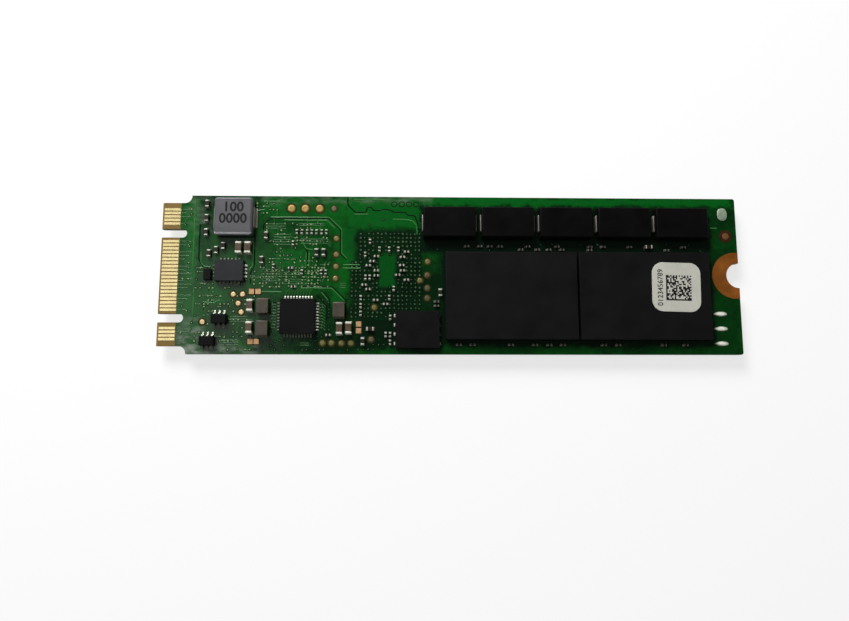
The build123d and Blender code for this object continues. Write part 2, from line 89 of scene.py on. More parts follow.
# Dark gaps between the copper areas, seen through the mask, as (x, y) paths
GAP_PATHS = [
    [(-26.05, 6.2), (-26.05, 6.95), (-25.1, 7.86), (-17.05, 7.86), (-15.4, 6.2), (-15.4, 2.9),
     (-14.55, 2.05)],
    [(-14.45, 10.95), (-14.45, 9.75), (-13.4, 8.75), (-11.95, 8.75), (-11.75, 9.5), (-11.15, 9.5),
     (-10.95, 9.02), (-10.0, 9.02), (-9.6, 9.22), (-8.5, 9.12), (-8.1, 8.8), (-6.5, 8.8),
     (-6.1, 8.38), (-5.15, 8.32), (-4.75, 7.4), (-4.6, 6.1)],
    [(-34.75, 6.9), (-34.75, 2.1), (-34.3, 1.15), (-33.3, 0.8)],
    [(-27.15, 5.4), (-27.15, 0.9), (-27.6, 0.2), (-27.6, -1.4)],
    [(-20.7, -1.75), (-16.4, -1.75), (-14.55, -3.6), (-14.45, -6.3)],
    [(-18.5, -2.9), (-17.1, -4.4), (-17.1, -6.6)],
    [(-18.1, -2.3), (-17.9, -2.3), (-16.75, -3.5), (-16.75, -5.9)],
    [(-21.0, 5.0), (-20.2, 3.6), (-19.9, 3.1), (-19.9, 0.9)],
    [(-31.9, 5.2), (-28.3, 5.2)],
    [(-4.3, -4.5), (-4.3, 3.4)],
]
# Areas of whole copper and of bare laminate, seen through the mask: x from, x to, y from, y to,
# share. Some rows also paint light and shade: the copper row along the upper long edge paints the
# light there, and the dark rows beside the hold-ups, below the memory, below the manager and at
# the screw end paint shade.
COPPER_AND_LIT_AREAS = [
    (-36.5, -35.1, -1.2, 10.7, 0.75),
    (-37.4, -35.0, 6.6, 9.7, 0.5),
    (-14.4, -4.5, 6.6, 10.85, 0.75),
    (-10.1, -7.8, -1.8, 2.8, 0.6),
    (-16.0, -13.4, 1.7, 6.6, 0.6),
    (-24.4, -20.2, 1.1, 3.3, 0.7),
    (-26.0, -15.0, 8.2, 10.8, 0.55),
    (-16.6, -14.9, -4.3, -2.0, 0.7),
    # Along the upper long edge: copper, with the light that falls there painted on
    (-4.0, 39.6, 9.85, 10.95, 0.95),
]
BARE_AND_SHADED_AREAS = [
    (-14.1, -4.2, -6.3, 6.3, 0.85),
    # Painted shadow of the hold-up capacitors, as well as bare laminate
    (-4.7, 36.5, 3.0, 9.65, 1.0),
    (-1.7, 36.4, -10.0, 4.0, 1.0),
    (-13.4, -0.8, -10.5, -5.8, 0.95),
    (-2.0, 36.4, -11.2, -9.8, 0.45),
    (-27.0, -13.0, -10.95, -8.8, 0.8),
    (-29.3, -16.2, -9.4, -2.7, 0.55),
    (-35.0, -32.9, -1.6, 10.4, 0.4),
    (-4.7, -0.8, -6.0, 0.4, 0.85),
    (-33.4, -29.4, -9.9, -4.2, 0.5),
    (35.8, 39.8, 4.0, 9.6, 0.4),
    (35.8, 39.8, -11.2, 4.0, 0.6),
]
# Where pale glare of reflected light is painted on the mask
GLARE_AREAS = [
    (-36.9, -32.2, -11.2, -8.9, 1.0),
    (-36.6, -34.0, -9.2, -6.6, 0.55),
    (-32.5, -26.5, -11.2, -10.0, 0.5),
    (-26.0, -3.0, 10.3, 11.2, 0.4),
    (-36.4, -33.4, 6.2, 10.9, 0.25),
]
# Whole copper on the hidden face
UNDER_AREAS = [
    (-37.2, -27.2, -10.4, 10.4, 0.55),
    (-26.4, -17.2, 7.4, 10.6, 0.7),
    (-15.8, -3.4, 5.9, 10.6, 0.7),
    (-26.4, -3.0, -10.6, -7.2, 0.6),
    (-2.4, 35.6, 4.4, 10.6, 0.8),
    (36.0, 39.5, -10.5, 10.5, 0.6),
]
# Copper edges and broad tracks that stand up under the mask, painted pale: copper under thin mask,
# with a painted highlight on the relief
RIDGE_PATHS = [
    [(-25.1, 8.0), (-17.0, 8.0), (-15.25, 6.28), (-15.2, 2.95), (-14.5, 2.2)],
    [(-23.2, 7.58), (-17.3, 7.58), (-16.2, 6.5)],
    [(-13.5, 8.48), (-11.6, 8.48)],
    [(-8.2, 7.8), (-6.1, 7.72), (-5.35, 7.5), (-4.85, 6.9), (-4.78, 5.6)],
    [(-34.42, 3.0), (-34.42, 1.6), (-34.0, 1.02), (-33.1, 0.95)],
    [(-27.33, 4.4), (-27.33, 1.2), (-27.85, 0.5)],
    [(-20.7, -1.95), (-16.5, -1.95), (-14.75, -3.7)],
    [(-17.9, -2.5), (-16.95, -3.6)],
    [(-15.0, 1.32), (-12.7, 1.32)],
    [(-15.0, 0.84), (-12.6, 0.84)],
    [(-20.8, 4.7), (-20.05, 3.5), (-19.2, 3.42)],
    [(-19.68, 3.1), (-19.68, 0.9)],
    [(-20.08, 3.0), (-20.08, 0.9)],
    [(-26.1, 10.25), (-23.9, 10.25)],
    [(-26.9, -2.45), (-23.4, -2.5)],
    [(-13.6, 10.6), (-9.2, 10.6)],
    [(-35.5, 10.5), (-35.5, 1.0)],
    [(-35.2, -2.0), (-35.2, -6.4)],
    [(-33.9, -3.9), (-32.4, -4.05), (-31.6, -3.6)],
    [(-27.0, 8.9), (-25.9, 9.05)],
    [(36.35, 6.75), (37.3, 6.75)],
]
# Fine tracks, drawn as groups of like lines: path, step to the next one, number of lines
BUS_PATHS = [
    ([(-26.2, 0.6), (-23.6, 0.6), (-23.2, 0.2), (-20.6, 0.2)], (0.0, -0.32), 6),
    ([(-24.6, 5.5), (-22.3, 5.5)], (0.0, -0.34), 5),
    ([(-20.9, 4.9), (-17.2, 4.9), (-16.7, 4.4)], (0.0, -0.3), 3),
    ([(-21.2, 7.1), (-17.6, 7.1)], (0.0, -0.26), 2),
    ([(-25.6, 7.0), (-23.0, 7.0)], (0.0, -0.3), 3),
    ([(-22.7, -2.9), (-22.7, -2.5), (-22.2, -2.0)], (0.4, 0.0), 9),
    ([(-18.2, -4.2), (-17.6, -4.2), (-17.3, -4.5)], (0.0, -0.4), 9),
    ([(-24.0, -4.2), (-24.6, -4.2)], (0.0, -0.4), 9),
    ([(-15.4, -1.3), (-14.6, -1.3)], (0.0, -0.28), 3),
    ([(-33.2, -1.6), (-33.2, -3.2), (-34.2, -4.2), (-34.2, -6.0)], (0.36, 0.0), 3),
    ([(-27.9, -5.9), (-30.3, -5.9), (-31.0, -6.6)], (0.0, -0.34), 3),
    ([(-31.4, -9.1), (-28.9, -9.1), (-28.4, -9.6)], (0.0, -0.34), 3),
    ([(-20.6, -9.5), (-19.4, -9.5)], (0.0, -0.3), 2),
]
# Plain empty outlines by the upper long edge, as middle places
OUTLINE_PLACES = [(-8.0, 9.95), (-6.95, 9.95), (-5.95, 9.95), (-4.95, 9.95)]
# Via fields: x from, x to, y from, y to, pitch, share of places filled
CONTROLLER_FIELDS = [
    (-13.75, -4.3, -5.9, 6.15, 0.58, 0.86),
]
VIA_FIELDS = [
    (-26.3, -16.9, -1.75, 0.9, 0.44, 0.62),
    (-25.6, -21.6, 1.6, 7.2, 0.5, 0.42),
    (-21.4, -16.9, 4.2, 7.3, 0.46, 0.5),
    (-21.4, -16.6, -0.4, 2.6, 0.55, 0.34),
    (-34.9, -26.8, -4.2, 1.4, 0.56, 0.42),
    (-34.9, -26.9, -10.4, -4.6, 0.58, 0.34),
    (-27.0, -24.0, 8.6, 10.0, 0.46, 0.5),
    (-36.8, -35.2, -8.2, 9.8, 0.75, 0.16),
]
DULL_VIA_FIELDS = [
    (-24.6, -17.2, -10.4, -9.0, 0.6, 0.42),
    (-18.2, -16.6, -8.6, -3.4, 0.46, 0.5),
    (-24.6, -23.9, -8.4, -3.4, 0.42, 0.5),
    (-14.2, -4.6, -10.4, -8.7, 0.7, 0.3),
    (-12.2, -5.2, 6.3, 8.2, 0.7, 0.2),
    (-2.0, 36.0, 3.5, 4.5, 0.8, 0.2),
]
# Places inside the controller's field that are left plain
VIA_CLEARINGS = [(-10.15, -7.75, -1.7, 2.75), (-14.2, -12.9, 1.9, 6.4)]
# Ends of the two key slots, where no via stands
SLOT_CLEARINGS = [(-37.6, -36.1, 4.7, 6.55), (-37.6, -36.1, -7.05, -5.2)]
# Paths on the hidden face, from the contacts to the controller and memory
UNDER_BUS_PATHS = [
    ([(-37.3, -2.9), (-34.6, -2.9), (-32.4, -0.7), (-27.0, -0.7), (-25.9, -1.8), (-25.9, -4.3),
      (-14.8, -4.3)], (0.25, -0.65), 4),
    ([(-37.3, 2.6), (-33.0, 2.6), (-31.0, 4.6), (-27.4, 4.6)], (0.0, -0.5), 4),
    ([(-26.2, 9.2), (-16.0, 9.2), (-14.2, 7.4), (-6.0, 7.4)], (0.0, -0.4), 3),
    ([(-16.9, 5.2), (-14.9, 5.2)], (0.0, -0.45), 14),
    ([(-3.2, 2.4), (-1.3, 2.4)], (0.0, -0.5), 11),
    ([(-2.8, 5.0), (31.0, 5.0), (33.0, 7.0), (33.0, 10.2)], (-0.5, 0.45), 1),
    ([(-13.0, -6.0), (-13.0, -9.6), (-1.6, -9.6)], (0.6, 0.5), 4),
    ([(-36.0, 8.8), (-29.0, 8.8), (-27.4, 7.2)], (0.0, -0.6), 3),
    ([(-35.6, -9.0), (-24.0, -9.0), (-22.4, -7.4), (-16.0, -7.4)], (0.0, 0.5), 4),
]
UNDER_VIA_FIELDS = [
    (-36.4, -26.2, -10.2, 10.2, 0.85, 0.2),
    (-26.0, -2.0, 8.2, 10.4, 0.8, 0.22),
    (-26.0, -2.0, -10.4, -5.6, 0.8, 0.24),
    (-17.0, -14.8, -4.6, 7.2, 0.6, 0.4),
    (-3.0, -1.2, -8.0, 5.0, 0.6, 0.34),
    (-2.0, 38.4, 3.6, 10.4, 0.95, 0.2),
    (-0.5, 35.6, -10.6, -9.4, 0.8, 0.3),
    (35.8, 38.6, -10.2, 3.0, 0.8, 0.25),
]
# An empty pad's outline round its middle
OUTLINE_CORNERS = [
    (-0.38, -0.14), (-0.38, 0.14), (-0.18, 0.34), (0.18, 0.34), (0.38, 0.14), (0.38, -0.14),
    (0.18, -0.34), (-0.18, -0.34), (-0.38, -0.14),
]
OUTLINE_WIDTH = 0.12
# Vias: how far one strays from its grid, and how far it keeps from the parts
VIA_STRAY = 0.06
VIA_MARGIN = 0.22
# The part of the card that stubs keep to: x from, x to, y from, y to
STUB_LIMITS = (-36.9, 38.9, -10.6, 10.6)


def tone(red, green, blue):
    """Linear colour of a screen colour given from 0 to 255."""
    return tuple(
        part / 3294.6 if part <= 10 else ((part / 255 + 0.055) / 1.055) ** 2.4
        for part in (red, green, blue)
    )


def vector(name, description, subtype, default, **more):
    """Three numbers that a user may change."""
    return FloatVectorProperty(
        name=name, description=description, subtype=subtype, size=3, default=default, **more
    )


def colour(name, description, *screen):
    """A colour that a user may change."""
    return vector(name, description, "COLOR", tone(*screen), min=0.0, max=1.0)


def amount(name, description, default, **more):
    """A number from 0 up that a user may change."""
    return FloatProperty(name=name, description=description, default=default, min=0.0, **more)


def length(name, description, millimetres):
    """A length that a user may change."""
    return amount(
        name, description, millimetres * MM, unit="LENGTH", subtype="DISTANCE", precision=6
    )


def figures(name, description, default):
    """Plain figures that a user may change."""
    return StringProperty(name=name, description=description, default=default)


class DriveCardFinish(bpy.types.PropertyGroup):
    """Colours of the card and its parts."""

    mask_deep: colour("Deep mask", "Solder mask over thin copper", 2, 48, 11)
    mask_bright: colour("Bright mask", "Solder mask over broken copper", 6, 84, 18)
    mask_copper: colour("Copper mask", "Solder mask over whole copper areas", 4, 92, 25)
    # Dark mask over bare laminate, also used as painted shade
    mask_bare_and_shade: colour("Dark mask", "Solder mask over bare laminate", 3, 25, 9)
    # Pale mask over copper edges, with a painted highlight on their relief
    mask_edge: colour("Mask edge", "Mask over the edge of a copper area", 56, 124, 54)
    mask_gap: colour("Mask gap", "Mask in the gap between copper areas", 1, 22, 7)
    # Pale colour of the glare painted on the mask
    glare: colour("Scuffed mask", "Mask rubbed pale", 146, 152, 142)
    laminate: colour("Laminate", "Bare laminate between the contacts", 138, 110, 56)
    wall: colour("Cut edge", "Cut edge of the card", 22, 50, 26)
    gold: colour("Contact gold", "Hard gold on the edge contacts", 252, 233, 170)
    pad_gold: colour("Pad gold", "Thin gold on probe pads", 154, 131, 72)
    point_bright: colour("Bright points", "Gold of the test points by the contacts", 234, 208, 162)
    point_dull: colour("Olive points", "Gold of the test points further along", 120, 122, 78)
    collar: colour("Pad collar", "Mask edge round a pad", 74, 58, 18)
    opening: colour("Mask opening", "Dark laminate in the mask openings", 34, 38, 9)
    fiducial_ring: colour("Fiducial ring", "Dark ring round the fiducial disc", 58, 22, 8)
    copper: colour("Copper", "Dulled copper of the screw rings", 158, 92, 28)
    bare_pad: colour("Bare pads", "Copper of the empty pads", 190, 152, 110)
    solder: colour("Solder", "Reflowed solder", 236, 238, 220)
    dull_tin: colour("Dull tin", "Flat, dulled tin", 158, 174, 150)
    dull_point: colour("Tan points", "Tinned points dulled to tan", 88, 88, 68)
    fiducial: colour("Fiducial", "Dulled copper of the fiducial disc", 122, 88, 46)
    sheet_tin: colour("Terminal tin", "Tin plate on sheet terminals", 160, 154, 146)
    # Dark solder: dull leads, and painted shade on some sides of the leads and at the tin bars'
    # foot and near flank
    dull_and_shaded_lead: colour("Dull leads", "Solder on the leads that hardly shine", 54, 64, 50)
    via_pale: colour("Pale vias", "Mask over the vias by the contacts", 118, 146, 96)
    via_dull: colour("Dull vias", "Mask over the vias under the large chips", 58, 88, 54)
    memory: colour("Memory moulding", "Moulding of the large packages", 17, 17, 18)
    chip: colour("Chip moulding", "Moulding of the small chips", 15, 15, 15)
    regulator: colour("Regulator moulding", "Moulding of the regulator", 47, 48, 49)
    capacitor: colour("Capacitor moulding", "Moulding of the hold-up capacitors", 10, 10, 10)
    inductor: colour("Inductor", "Pressed body of the power inductor", 76, 76, 80)
    # Pale colour of the painted highlight on the inductor's near edge
    highlighted: colour("Rubbed edge", "Pale near edge of the inductor", 226, 226, 230)
    coil: colour("Coils", "Moulded bodies of the chip coils", 70, 65, 54)
    ceramic: colour("Ceramic", "Fired bodies of the ceramic capacitors", 83, 68, 52)
    tiny: colour("Tiny bodies", "Fired bodies of the tiniest capacitors", 40, 30, 24)
    glaze: colour("Resistor glaze", "Glaze of the resistors", 24, 20, 20)
    paper: colour("Label paper", "Paper of the code label", 202, 202, 190)
    ink: colour("Ink", "Print on the label and the inductor", 22, 21, 22)


class DriveCardDetail(bpy.types.PropertyGroup):
    """Sizes of the details that Blender adds to the card."""

    via_moat: length("Via moat", "Outside of the dark ring round a via", 0.27)
    via_dot: length("Via dot", "Lighter middle of a via", 0.12)
    relief: length("Track relief", "Height of a track above the mask", 0.012)
    track_width: length("Track width", "Width of a fine track", 0.11)
    ridge_width: length("Ridge width", "Width of a copper edge", 0.15)
    gap_width: length("Gap width", "Width of the gap between copper areas", 0.17)
    bend: length("Track bend", "Radius of a track's bend", 0.3)
    package_round: length("Package rounding", "Edge rounding of the large packages", 0.07)
    chip_round: length("Chip rounding", "Edge rounding of the small chips", 0.035)
    solder_foot: length("Solder foot", "Reach of the solder past a chip's end", 0.16)
    code_size: length("Code size", "Side of the label's code block", 3.5)
    code_cells: IntProperty(
        name="Code cells", description="Cells along a side of the code block", default=18, min=8
    )
    code_seed: IntProperty(name="Code seed", description="Seed of the code's filler", default=5)
    inductor_top: figures("Inductor upper line", "Plain digits on the inductor", "100")
    inductor_low: figures("Inductor lower line", "Plain digits on the inductor", "0000")
    label_digits: figures("Label digits", "Plain digits beside the code", "0123456789")


class DriveCardStage(bpy.types.PropertyGroup):
    """Camera, light and floor."""

    camera_place: vector(
        "Camera place", "Where the camera stands", "TRANSLATION", (-0.005757, -0.016519, 0.090146),
        unit="LENGTH", precision=5,
    )
    camera_aim: vector(
        "Camera aim", "Direction of the view", "DIRECTION", (0.02227, 0.12947, -0.99133)
    )
    camera_up: vector(
        "Camera up", "Direction of the picture's top", "DIRECTION", (-0.00276, 0.99158, 0.12944)
    )
    lens: amount("Lens", "Focal length in millimetres", SENSOR * FOCAL_LENGTH / PICTURE_WIDTH)
    key_lamp: amount(
        "Key lamp", "Power of the lamp behind the upper long edge", 0.93, subtype="POWER"
    )
    gloss_lamp: amount(
        "Gloss lamp", "Power of the lamp that the contacts mirror", 0.19, subtype="POWER"
    )
    fill_lamp: amount("Fill lamp", "Power of the lamp by the screw end", 0.2, subtype="POWER")
    surround: amount("Surround", "Even light from all round", 0.15)
    overhead: amount("Overhead", "How bright reflections show the surround overhead", 0.06)


class Sheet:
    """A node tree and a short way to add nodes to it."""

    # Nearly all of a noise's values lie in this range
    NOISE_RANGE = (0.3, 0.7)

    def __init__(self, tree):
        self.tree = tree
        self.spot = None

    def add(self, kind, inputs=None, out=0, **settings):
        """Adds a node, sets or joins its inputs, and gives one of its outputs."""
        node = self.tree.nodes.new(kind)
        for key, value in settings.items():
            setattr(node, key, value)
        for key, value in (inputs or {}).items():
            if isinstance(value, bpy.types.NodeSocket):
                self.tree.links.new(value, node.inputs[key])
            else:
                node.inputs[key].default_value = value
        return node.outputs[out]

    def reckon(self, operation, one, other=0.0):
        """Arithmetic on two values."""
        return self.add("ShaderNodeMath", {0: one, 1: other}, operation=operation)

    plus = partialmethod(reckon, "ADD")
    minus = partialmethod(reckon, "SUBTRACT")
    times = partialmethod(reckon, "MULTIPLY")
    over = partialmethod(reckon, "DIVIDE")
    least = partialmethod(reckon, "MINIMUM")
    most = partialmethod(reckon, "MAXIMUM")
    below = partialmethod(reckon, "LESS_THAN")
    above = partialmethod(reckon, "GREATER_THAN")

    def place(self):
        """The surface's own place, in millimetres."""
        if self.spot is None:
            own = self.add("ShaderNodeTexCoord", out="Object")
            self.spot = self.add("ShaderNodeMapping", {"Vector": own, "Scale": (1 / MM,) * 3})
        return self.spot

    def axes(self, arrow):
        """The X, Y and Z of a vector."""
        parts = self.tree.nodes.new("ShaderNodeSeparateXYZ")
        self.tree.links.new(arrow, parts.inputs[0])
        return parts.outputs

    def facing(self):
        """The X, Y and Z of the way that the surface faces."""
        return self.axes(self.add("ShaderNodeNewGeometry", out="Normal"))

    def noise(self, size, detail=3.0, stretch=None):
        """Soft random patches of about a size in millimetres."""
        place = self.place()
        if stretch:
            place = self.add("ShaderNodeMapping", {"Vector": place, "Scale": stretch})
        return self.add(
            "ShaderNodeTexNoise", {"Vector": place, "Scale": 1 / size, "Detail": detail}
        )

    def span(self, value, low, high, to_low=0.0, to_high=1.0):
        """Carries a value from one range to another and holds it there."""
        inputs = {"Value": value, "From Min": low, "From Max": high}
        return self.add("ShaderNodeMapRange", inputs | {"To Min": to_low, "To Max": to_high})

    def swing(self, noise, low=0.0, high=1.0):
        """Carries a noise's usual range to another."""
        return self.span(noise, *self.NOISE_RANGE, low, high)

    def areas(self, x, y, rows, soft):
        """How far a place is inside any of some areas with soft edges."""
        shares = []
        for left, right, low, high, share in rows:
            sides = [
                self.span(along, edge - reach, edge + reach)
                for along, edge, reach in (
                    (x, left, soft), (x, right, -soft), (y, low, soft), (y, high, -soft),
                )
            ]
            shares.append(self.times(reduce(self.least, sides), share))
        return reduce(self.most, shares)

    def blend(self, share, one, other):
        """A colour between two others."""
        ends = [
            end if isinstance(end, bpy.types.NodeSocket) else (*end, 1.0) for end in (one, other)
        ]
        return self.add(
            "ShaderNodeMix", {0: share, 6: ends[0], 7: ends[1]}, out=2, data_type="RGBA"
        )

    def bump(self, height, depth, under=None):
        """Relief from a height of 0 to 1, with its depth in millimetres."""
        inputs = {"Height": height, "Distance": depth * MM, "Strength": 1.0}
        if under is not None:
            inputs["Normal"] = under
        return self.add("ShaderNodeBump", inputs)


class Paint(Sheet):
    """A new material with a Principled shader."""

    def __init__(self, name, **sockets):
        self.material = bpy.data.materials.new(name)
        self.material.use_nodes = True
        super().__init__(self.material.node_tree)
        self.body = self.tree.nodes["Principled BSDF"]
        for key, value in sockets.items():
            self.body.inputs[key.replace("_", " ")].default_value = value

    def done(self, skin, rough, relief):
        """Joins up the colour, roughness and relief, and gives the material."""
        for key, socket in (("Base Color", skin), ("Roughness", rough), ("Normal", relief)):
            self.tree.links.new(socket, self.body.inputs[key])
        return self.material


def tinted(base, factor):
    """A colour made darker or lighter."""
    return tuple(min(1.0, part * factor) for part in base)


def coating(base, name, patch, grain, depth, smooth, rough, drift, metal, shine):
    """A finish whose colour and gloss drift in patches, with a fine grain in relief."""
    sheet = Paint(name, Metallic=metal, Specular_IOR_Level=shine)
    patches = sheet.noise(patch, 4.0)
    grains = sheet.noise(grain, 2.0)
    share = sheet.span(sheet.plus(patches, sheet.times(grains, 0.5)), 0.45, 1.05)
    return sheet.done(
        sheet.blend(share, tinted(base, 1 - drift), tinted(base, 1 + drift)),
        sheet.swing(patches, smooth, rough),
        sheet.bump(grains, depth),
    )


def mask_finish(look):
    """Green mask over copper areas, bare laminate by the contacts, and a layered cut edge."""
    sheet = Paint("card_mask", Specular_IOR_Level=0.32)
    x, y, _ = sheet.axes(sheet.place())
    wander = sheet.swing(sheet.noise(1.3, 2.0), -0.35, 0.35)
    spot = sheet.plus(x, wander), sheet.minus(y, wander)
    fine = sheet.noise(0.7)
    weave = sheet.noise(0.16, 2.0)
    share = sheet.span(sheet.plus(sheet.noise(5.5, 1.5), sheet.times(fine, 0.35)), 0.5, 0.86)
    green = sheet.blend(share, look.mask_deep, look.mask_bright)
    level = sheet.facing()[2]
    upper = sheet.span(level, 0.3, 0.5)
    lower = sheet.span(level, -0.3, -0.5)
    # Streaks of the painted glare
    glare_streaks = sheet.span(sheet.noise(0.9, 4.0, (0.5, 1.0, 1.0)), 0.4, 0.66)
    # Laid over the green: bare laminate and painted shade, copper and painted light, and painted
    # glare
    for rows, soft, paint, where in (
        (BARE_AND_SHADED_AREAS, 0.45, look.mask_bare_and_shade, upper),
        (COPPER_AND_LIT_AREAS, 0.25, look.mask_copper, upper),
        (UNDER_AREAS, 0.25, look.mask_copper, lower),
        (GLARE_AREAS, 0.7, look.glare, sheet.times(upper, glare_streaks)),
    ):
        inside = sheet.times(sheet.areas(*spot, rows, soft), where)
        green = sheet.blend(inside, green, paint)
    green = sheet.blend(sheet.span(weave, 0.42, 0.34, 0.0, 0.3), green, look.mask_gap)
    bare = sheet.span(x, MASK_END + 0.03, MASK_END - 0.03)
    brown = sheet.blend(sheet.noise(0.5), tinted(look.laminate, 0.6), look.laminate)
    top = sheet.blend(bare, green, brown)
    side = sheet.span(sheet.reckon("ABSOLUTE", level), 0.5, 0.3)
    plies = sheet.add(
        "ShaderNodeTexWave",
        {"Vector": sheet.place(), "Scale": 1.6, "Distortion": 1.2, "Detail": 2.0},
        bands_direction="Z",
    )
    cut = sheet.blend(plies, tinted(look.wall, 0.6), tinted(look.wall, 1.3))
    cut = sheet.blend(sheet.span(sheet.noise(0.4), 0.55, 0.7), cut, tinted(look.laminate, 0.5))
    rough = sheet.span(sheet.most(side, bare), 0.0, 1.0, 0.17, 0.75)
    return sheet.done(
        sheet.blend(side, top, cut),
        sheet.plus(rough, sheet.swing(fine, -0.03, 0.06)),
        sheet.bump(weave, 0.0025, sheet.bump(share, 0.012)),
    )


def track_finish(name, base, look):
    """Mask over a track, drifting towards the plain mask's colour."""
    sheet = Paint(name, Specular_IOR_Level=0.32)
    drift = sheet.noise(2.2)
    return sheet.done(
        sheet.blend(sheet.span(drift, 0.35, 0.65, 0.0, 0.6), base, look.mask_bright),
        sheet.swing(drift, 0.2, 0.34),
        sheet.bump(sheet.noise(0.2), 0.003),
    )


def gold_finish(look):
    """Hard gold with wipe marks along the contacts and paler, worn streaks."""
    sheet = Paint("contact_gold", Metallic=0.8)
    wipe = sheet.noise(0.09, 2.0, (0.08, 1.0, 1.0))
    patch = sheet.span(sheet.noise(1.4), 0.35, 0.7)
    worn = sheet.blend(patch, tinted(look.gold, 0.88), tinted(look.gold, 1.04))
    return sheet.done(
        sheet.blend(sheet.span(wipe, 0.5, 0.75, 0.0, 0.25), worn, tinted(look.gold, 0.75)),
        sheet.swing(wipe, 0.24, 0.34),
        sheet.bump(wipe, 0.0003),
    )


def solder_finish(name, base, rough, shaded_from=None):
    """Frosted solder; with an X given, painted shade darkens its flanks and all of it beyond that
    X.
    """
    sheet = Paint(name, Metallic=0.35)
    frost = sheet.add(
        "ShaderNodeTexVoronoi", {"Vector": sheet.place(), "Scale": 14.0}, out="Color"
    )
    facets = sheet.span(sheet.add("ShaderNodeSeparateColor", {0: frost}), 0.0, 1.0)
    skin = sheet.blend(sheet.swing(sheet.noise(0.8)), tinted(base, 0.8), base)
    if shaded_from is not None:
        # Painted shade: the tilted flanks and all past the given X go dark
        flank = sheet.span(sheet.facing()[2], 0.9, 0.6, 0.0, 0.75)
        beyond = sheet.span(sheet.axes(sheet.place())[0], shaded_from, shaded_from + 1.0, 0.0, 0.85)
        skin = sheet.blend(sheet.most(flank, beyond), skin, tinted(base, 0.1))
    return sheet.done(
        skin, sheet.span(facets, 0.0, 1.0, rough, rough + 0.16), sheet.bump(facets, 0.004)
    )


def lead_finish(name, chip, shaded_sides, look):
    """Solder on a chip's leads, dull in random patches, bright on some of the chip's sides and
    darkened by painted shade on the others.
    """
    low, high = box_of(chip)
    sheet = Paint(name, Metallic=0.6)
    x, y, _ = sheet.axes(sheet.place())
    sides = {
        "left": (x, low.x, -0.03), "right": (x, high.x, 0.03),
        "near": (y, low.y, -0.03), "far": (y, high.y, 0.03),
    }
    dull = sheet.span(sheet.noise(0.5), 0.45, 0.75, 0.0, 0.5)
    # The listed sides fade to the dark solder colour as painted shade
    for side in shaded_sides:
        along, edge, soft = sides[side]
        dull = sheet.most(dull, sheet.span(along, edge - soft, edge + soft, 0.0, 0.9))
    return sheet.done(
        sheet.blend(dull, look.solder, look.dull_and_shaded_lead),
        sheet.span(dull, 0.0, 1.0, 0.22, 0.5),
        sheet.bump(sheet.noise(0.1), 0.004),
    )


def bar_finish(look):
    """Tin of the bars, with a painted highlight along the crest and painted shade towards the foot
    and on the near flank.
    """
    sheet = Paint("bar_tin", Metallic=0.1)
    height = sheet.axes(sheet.place())[2]
    # Painted highlight high on the bead, painted shade towards its foot
    crest = sheet.span(height, CARD_TOP, box_of("tin_bars")[1].z, -0.35, 1.15)
    streak = sheet.noise(0.25, 3.0, (0.3, 1.0, 1.0))
    shine = sheet.times(crest, sheet.span(streak, 0.25, 0.5, 0.6, 1.0))
    # The flank that faces the near side is darkened as painted shade
    shine = sheet.times(shine, sheet.span(sheet.facing()[1], -0.35, -0.05, 0.3, 1.0))
    return sheet.done(
        sheet.blend(shine, look.dull_and_shaded_lead, tinted(look.solder, 1.2)),
        sheet.swing(streak, 0.16, 0.34),
        sheet.bump(streak, 0.006),
    )


def point_finish(look):
    """Thin gold of the test points: bright by the contacts, dull and olive further along."""
    sheet = Paint("point_gold", Metallic=0.6)
    further = sheet.span(sheet.axes(sheet.place())[0], -28.4, -27.6)
    patch = sheet.noise(0.4)
    gold = sheet.blend(further, look.point_bright, look.point_dull)
    return sheet.done(
        sheet.blend(sheet.span(patch, 0.4, 0.7, 0.0, 0.4), gold, look.collar),
        sheet.swing(patch, 0.38, 0.55),
        sheet.bump(sheet.noise(0.12), 0.004),
    )


def powder_finish(look):
    """Pressed powder of the inductor, with a streaky painted highlight along its near edge."""
    sheet = Paint("inductor_powder", Specular_IOR_Level=0.45)
    _, across, level = sheet.facing()
    # Painted highlight on the near edge where it tilts up
    edge = sheet.times(sheet.span(across, -0.2, -0.4), sheet.span(level, 0.2, 0.4))
    streak = sheet.noise(0.5, 3.0, (0.25, 1.0, 1.0))
    painted_glint = sheet.times(edge, sheet.span(streak, 0.3, 0.55, 0.35, 1.0))
    drift = sheet.noise(1.4)
    body = sheet.blend(
        sheet.swing(drift), tinted(look.inductor, 0.9), tinted(look.inductor, 1.1)
    )
    return sheet.done(
        sheet.blend(painted_glint, body, look.highlighted),
        sheet.swing(drift, 0.36, 0.5),
        sheet.bump(sheet.noise(0.08, 2.0), 0.012),
    )


def paper_finish(look):
    """Matt printed paper with soft fibres."""
    sheet = Paint("label_paper", Specular_IOR_Level=0.25)
    fibre = sheet.noise(0.25, 4.0, (1.0, 0.3, 1.0))
    cloud = sheet.span(sheet.plus(fibre, sheet.noise(2.5, 2.0)), 0.7, 1.3)
    return sheet.done(
        sheet.blend(cloud, tinted(look.paper, 0.88), look.paper),
        sheet.swing(fibre, 0.62, 0.8),
        sheet.bump(fibre, 0.006),
    )


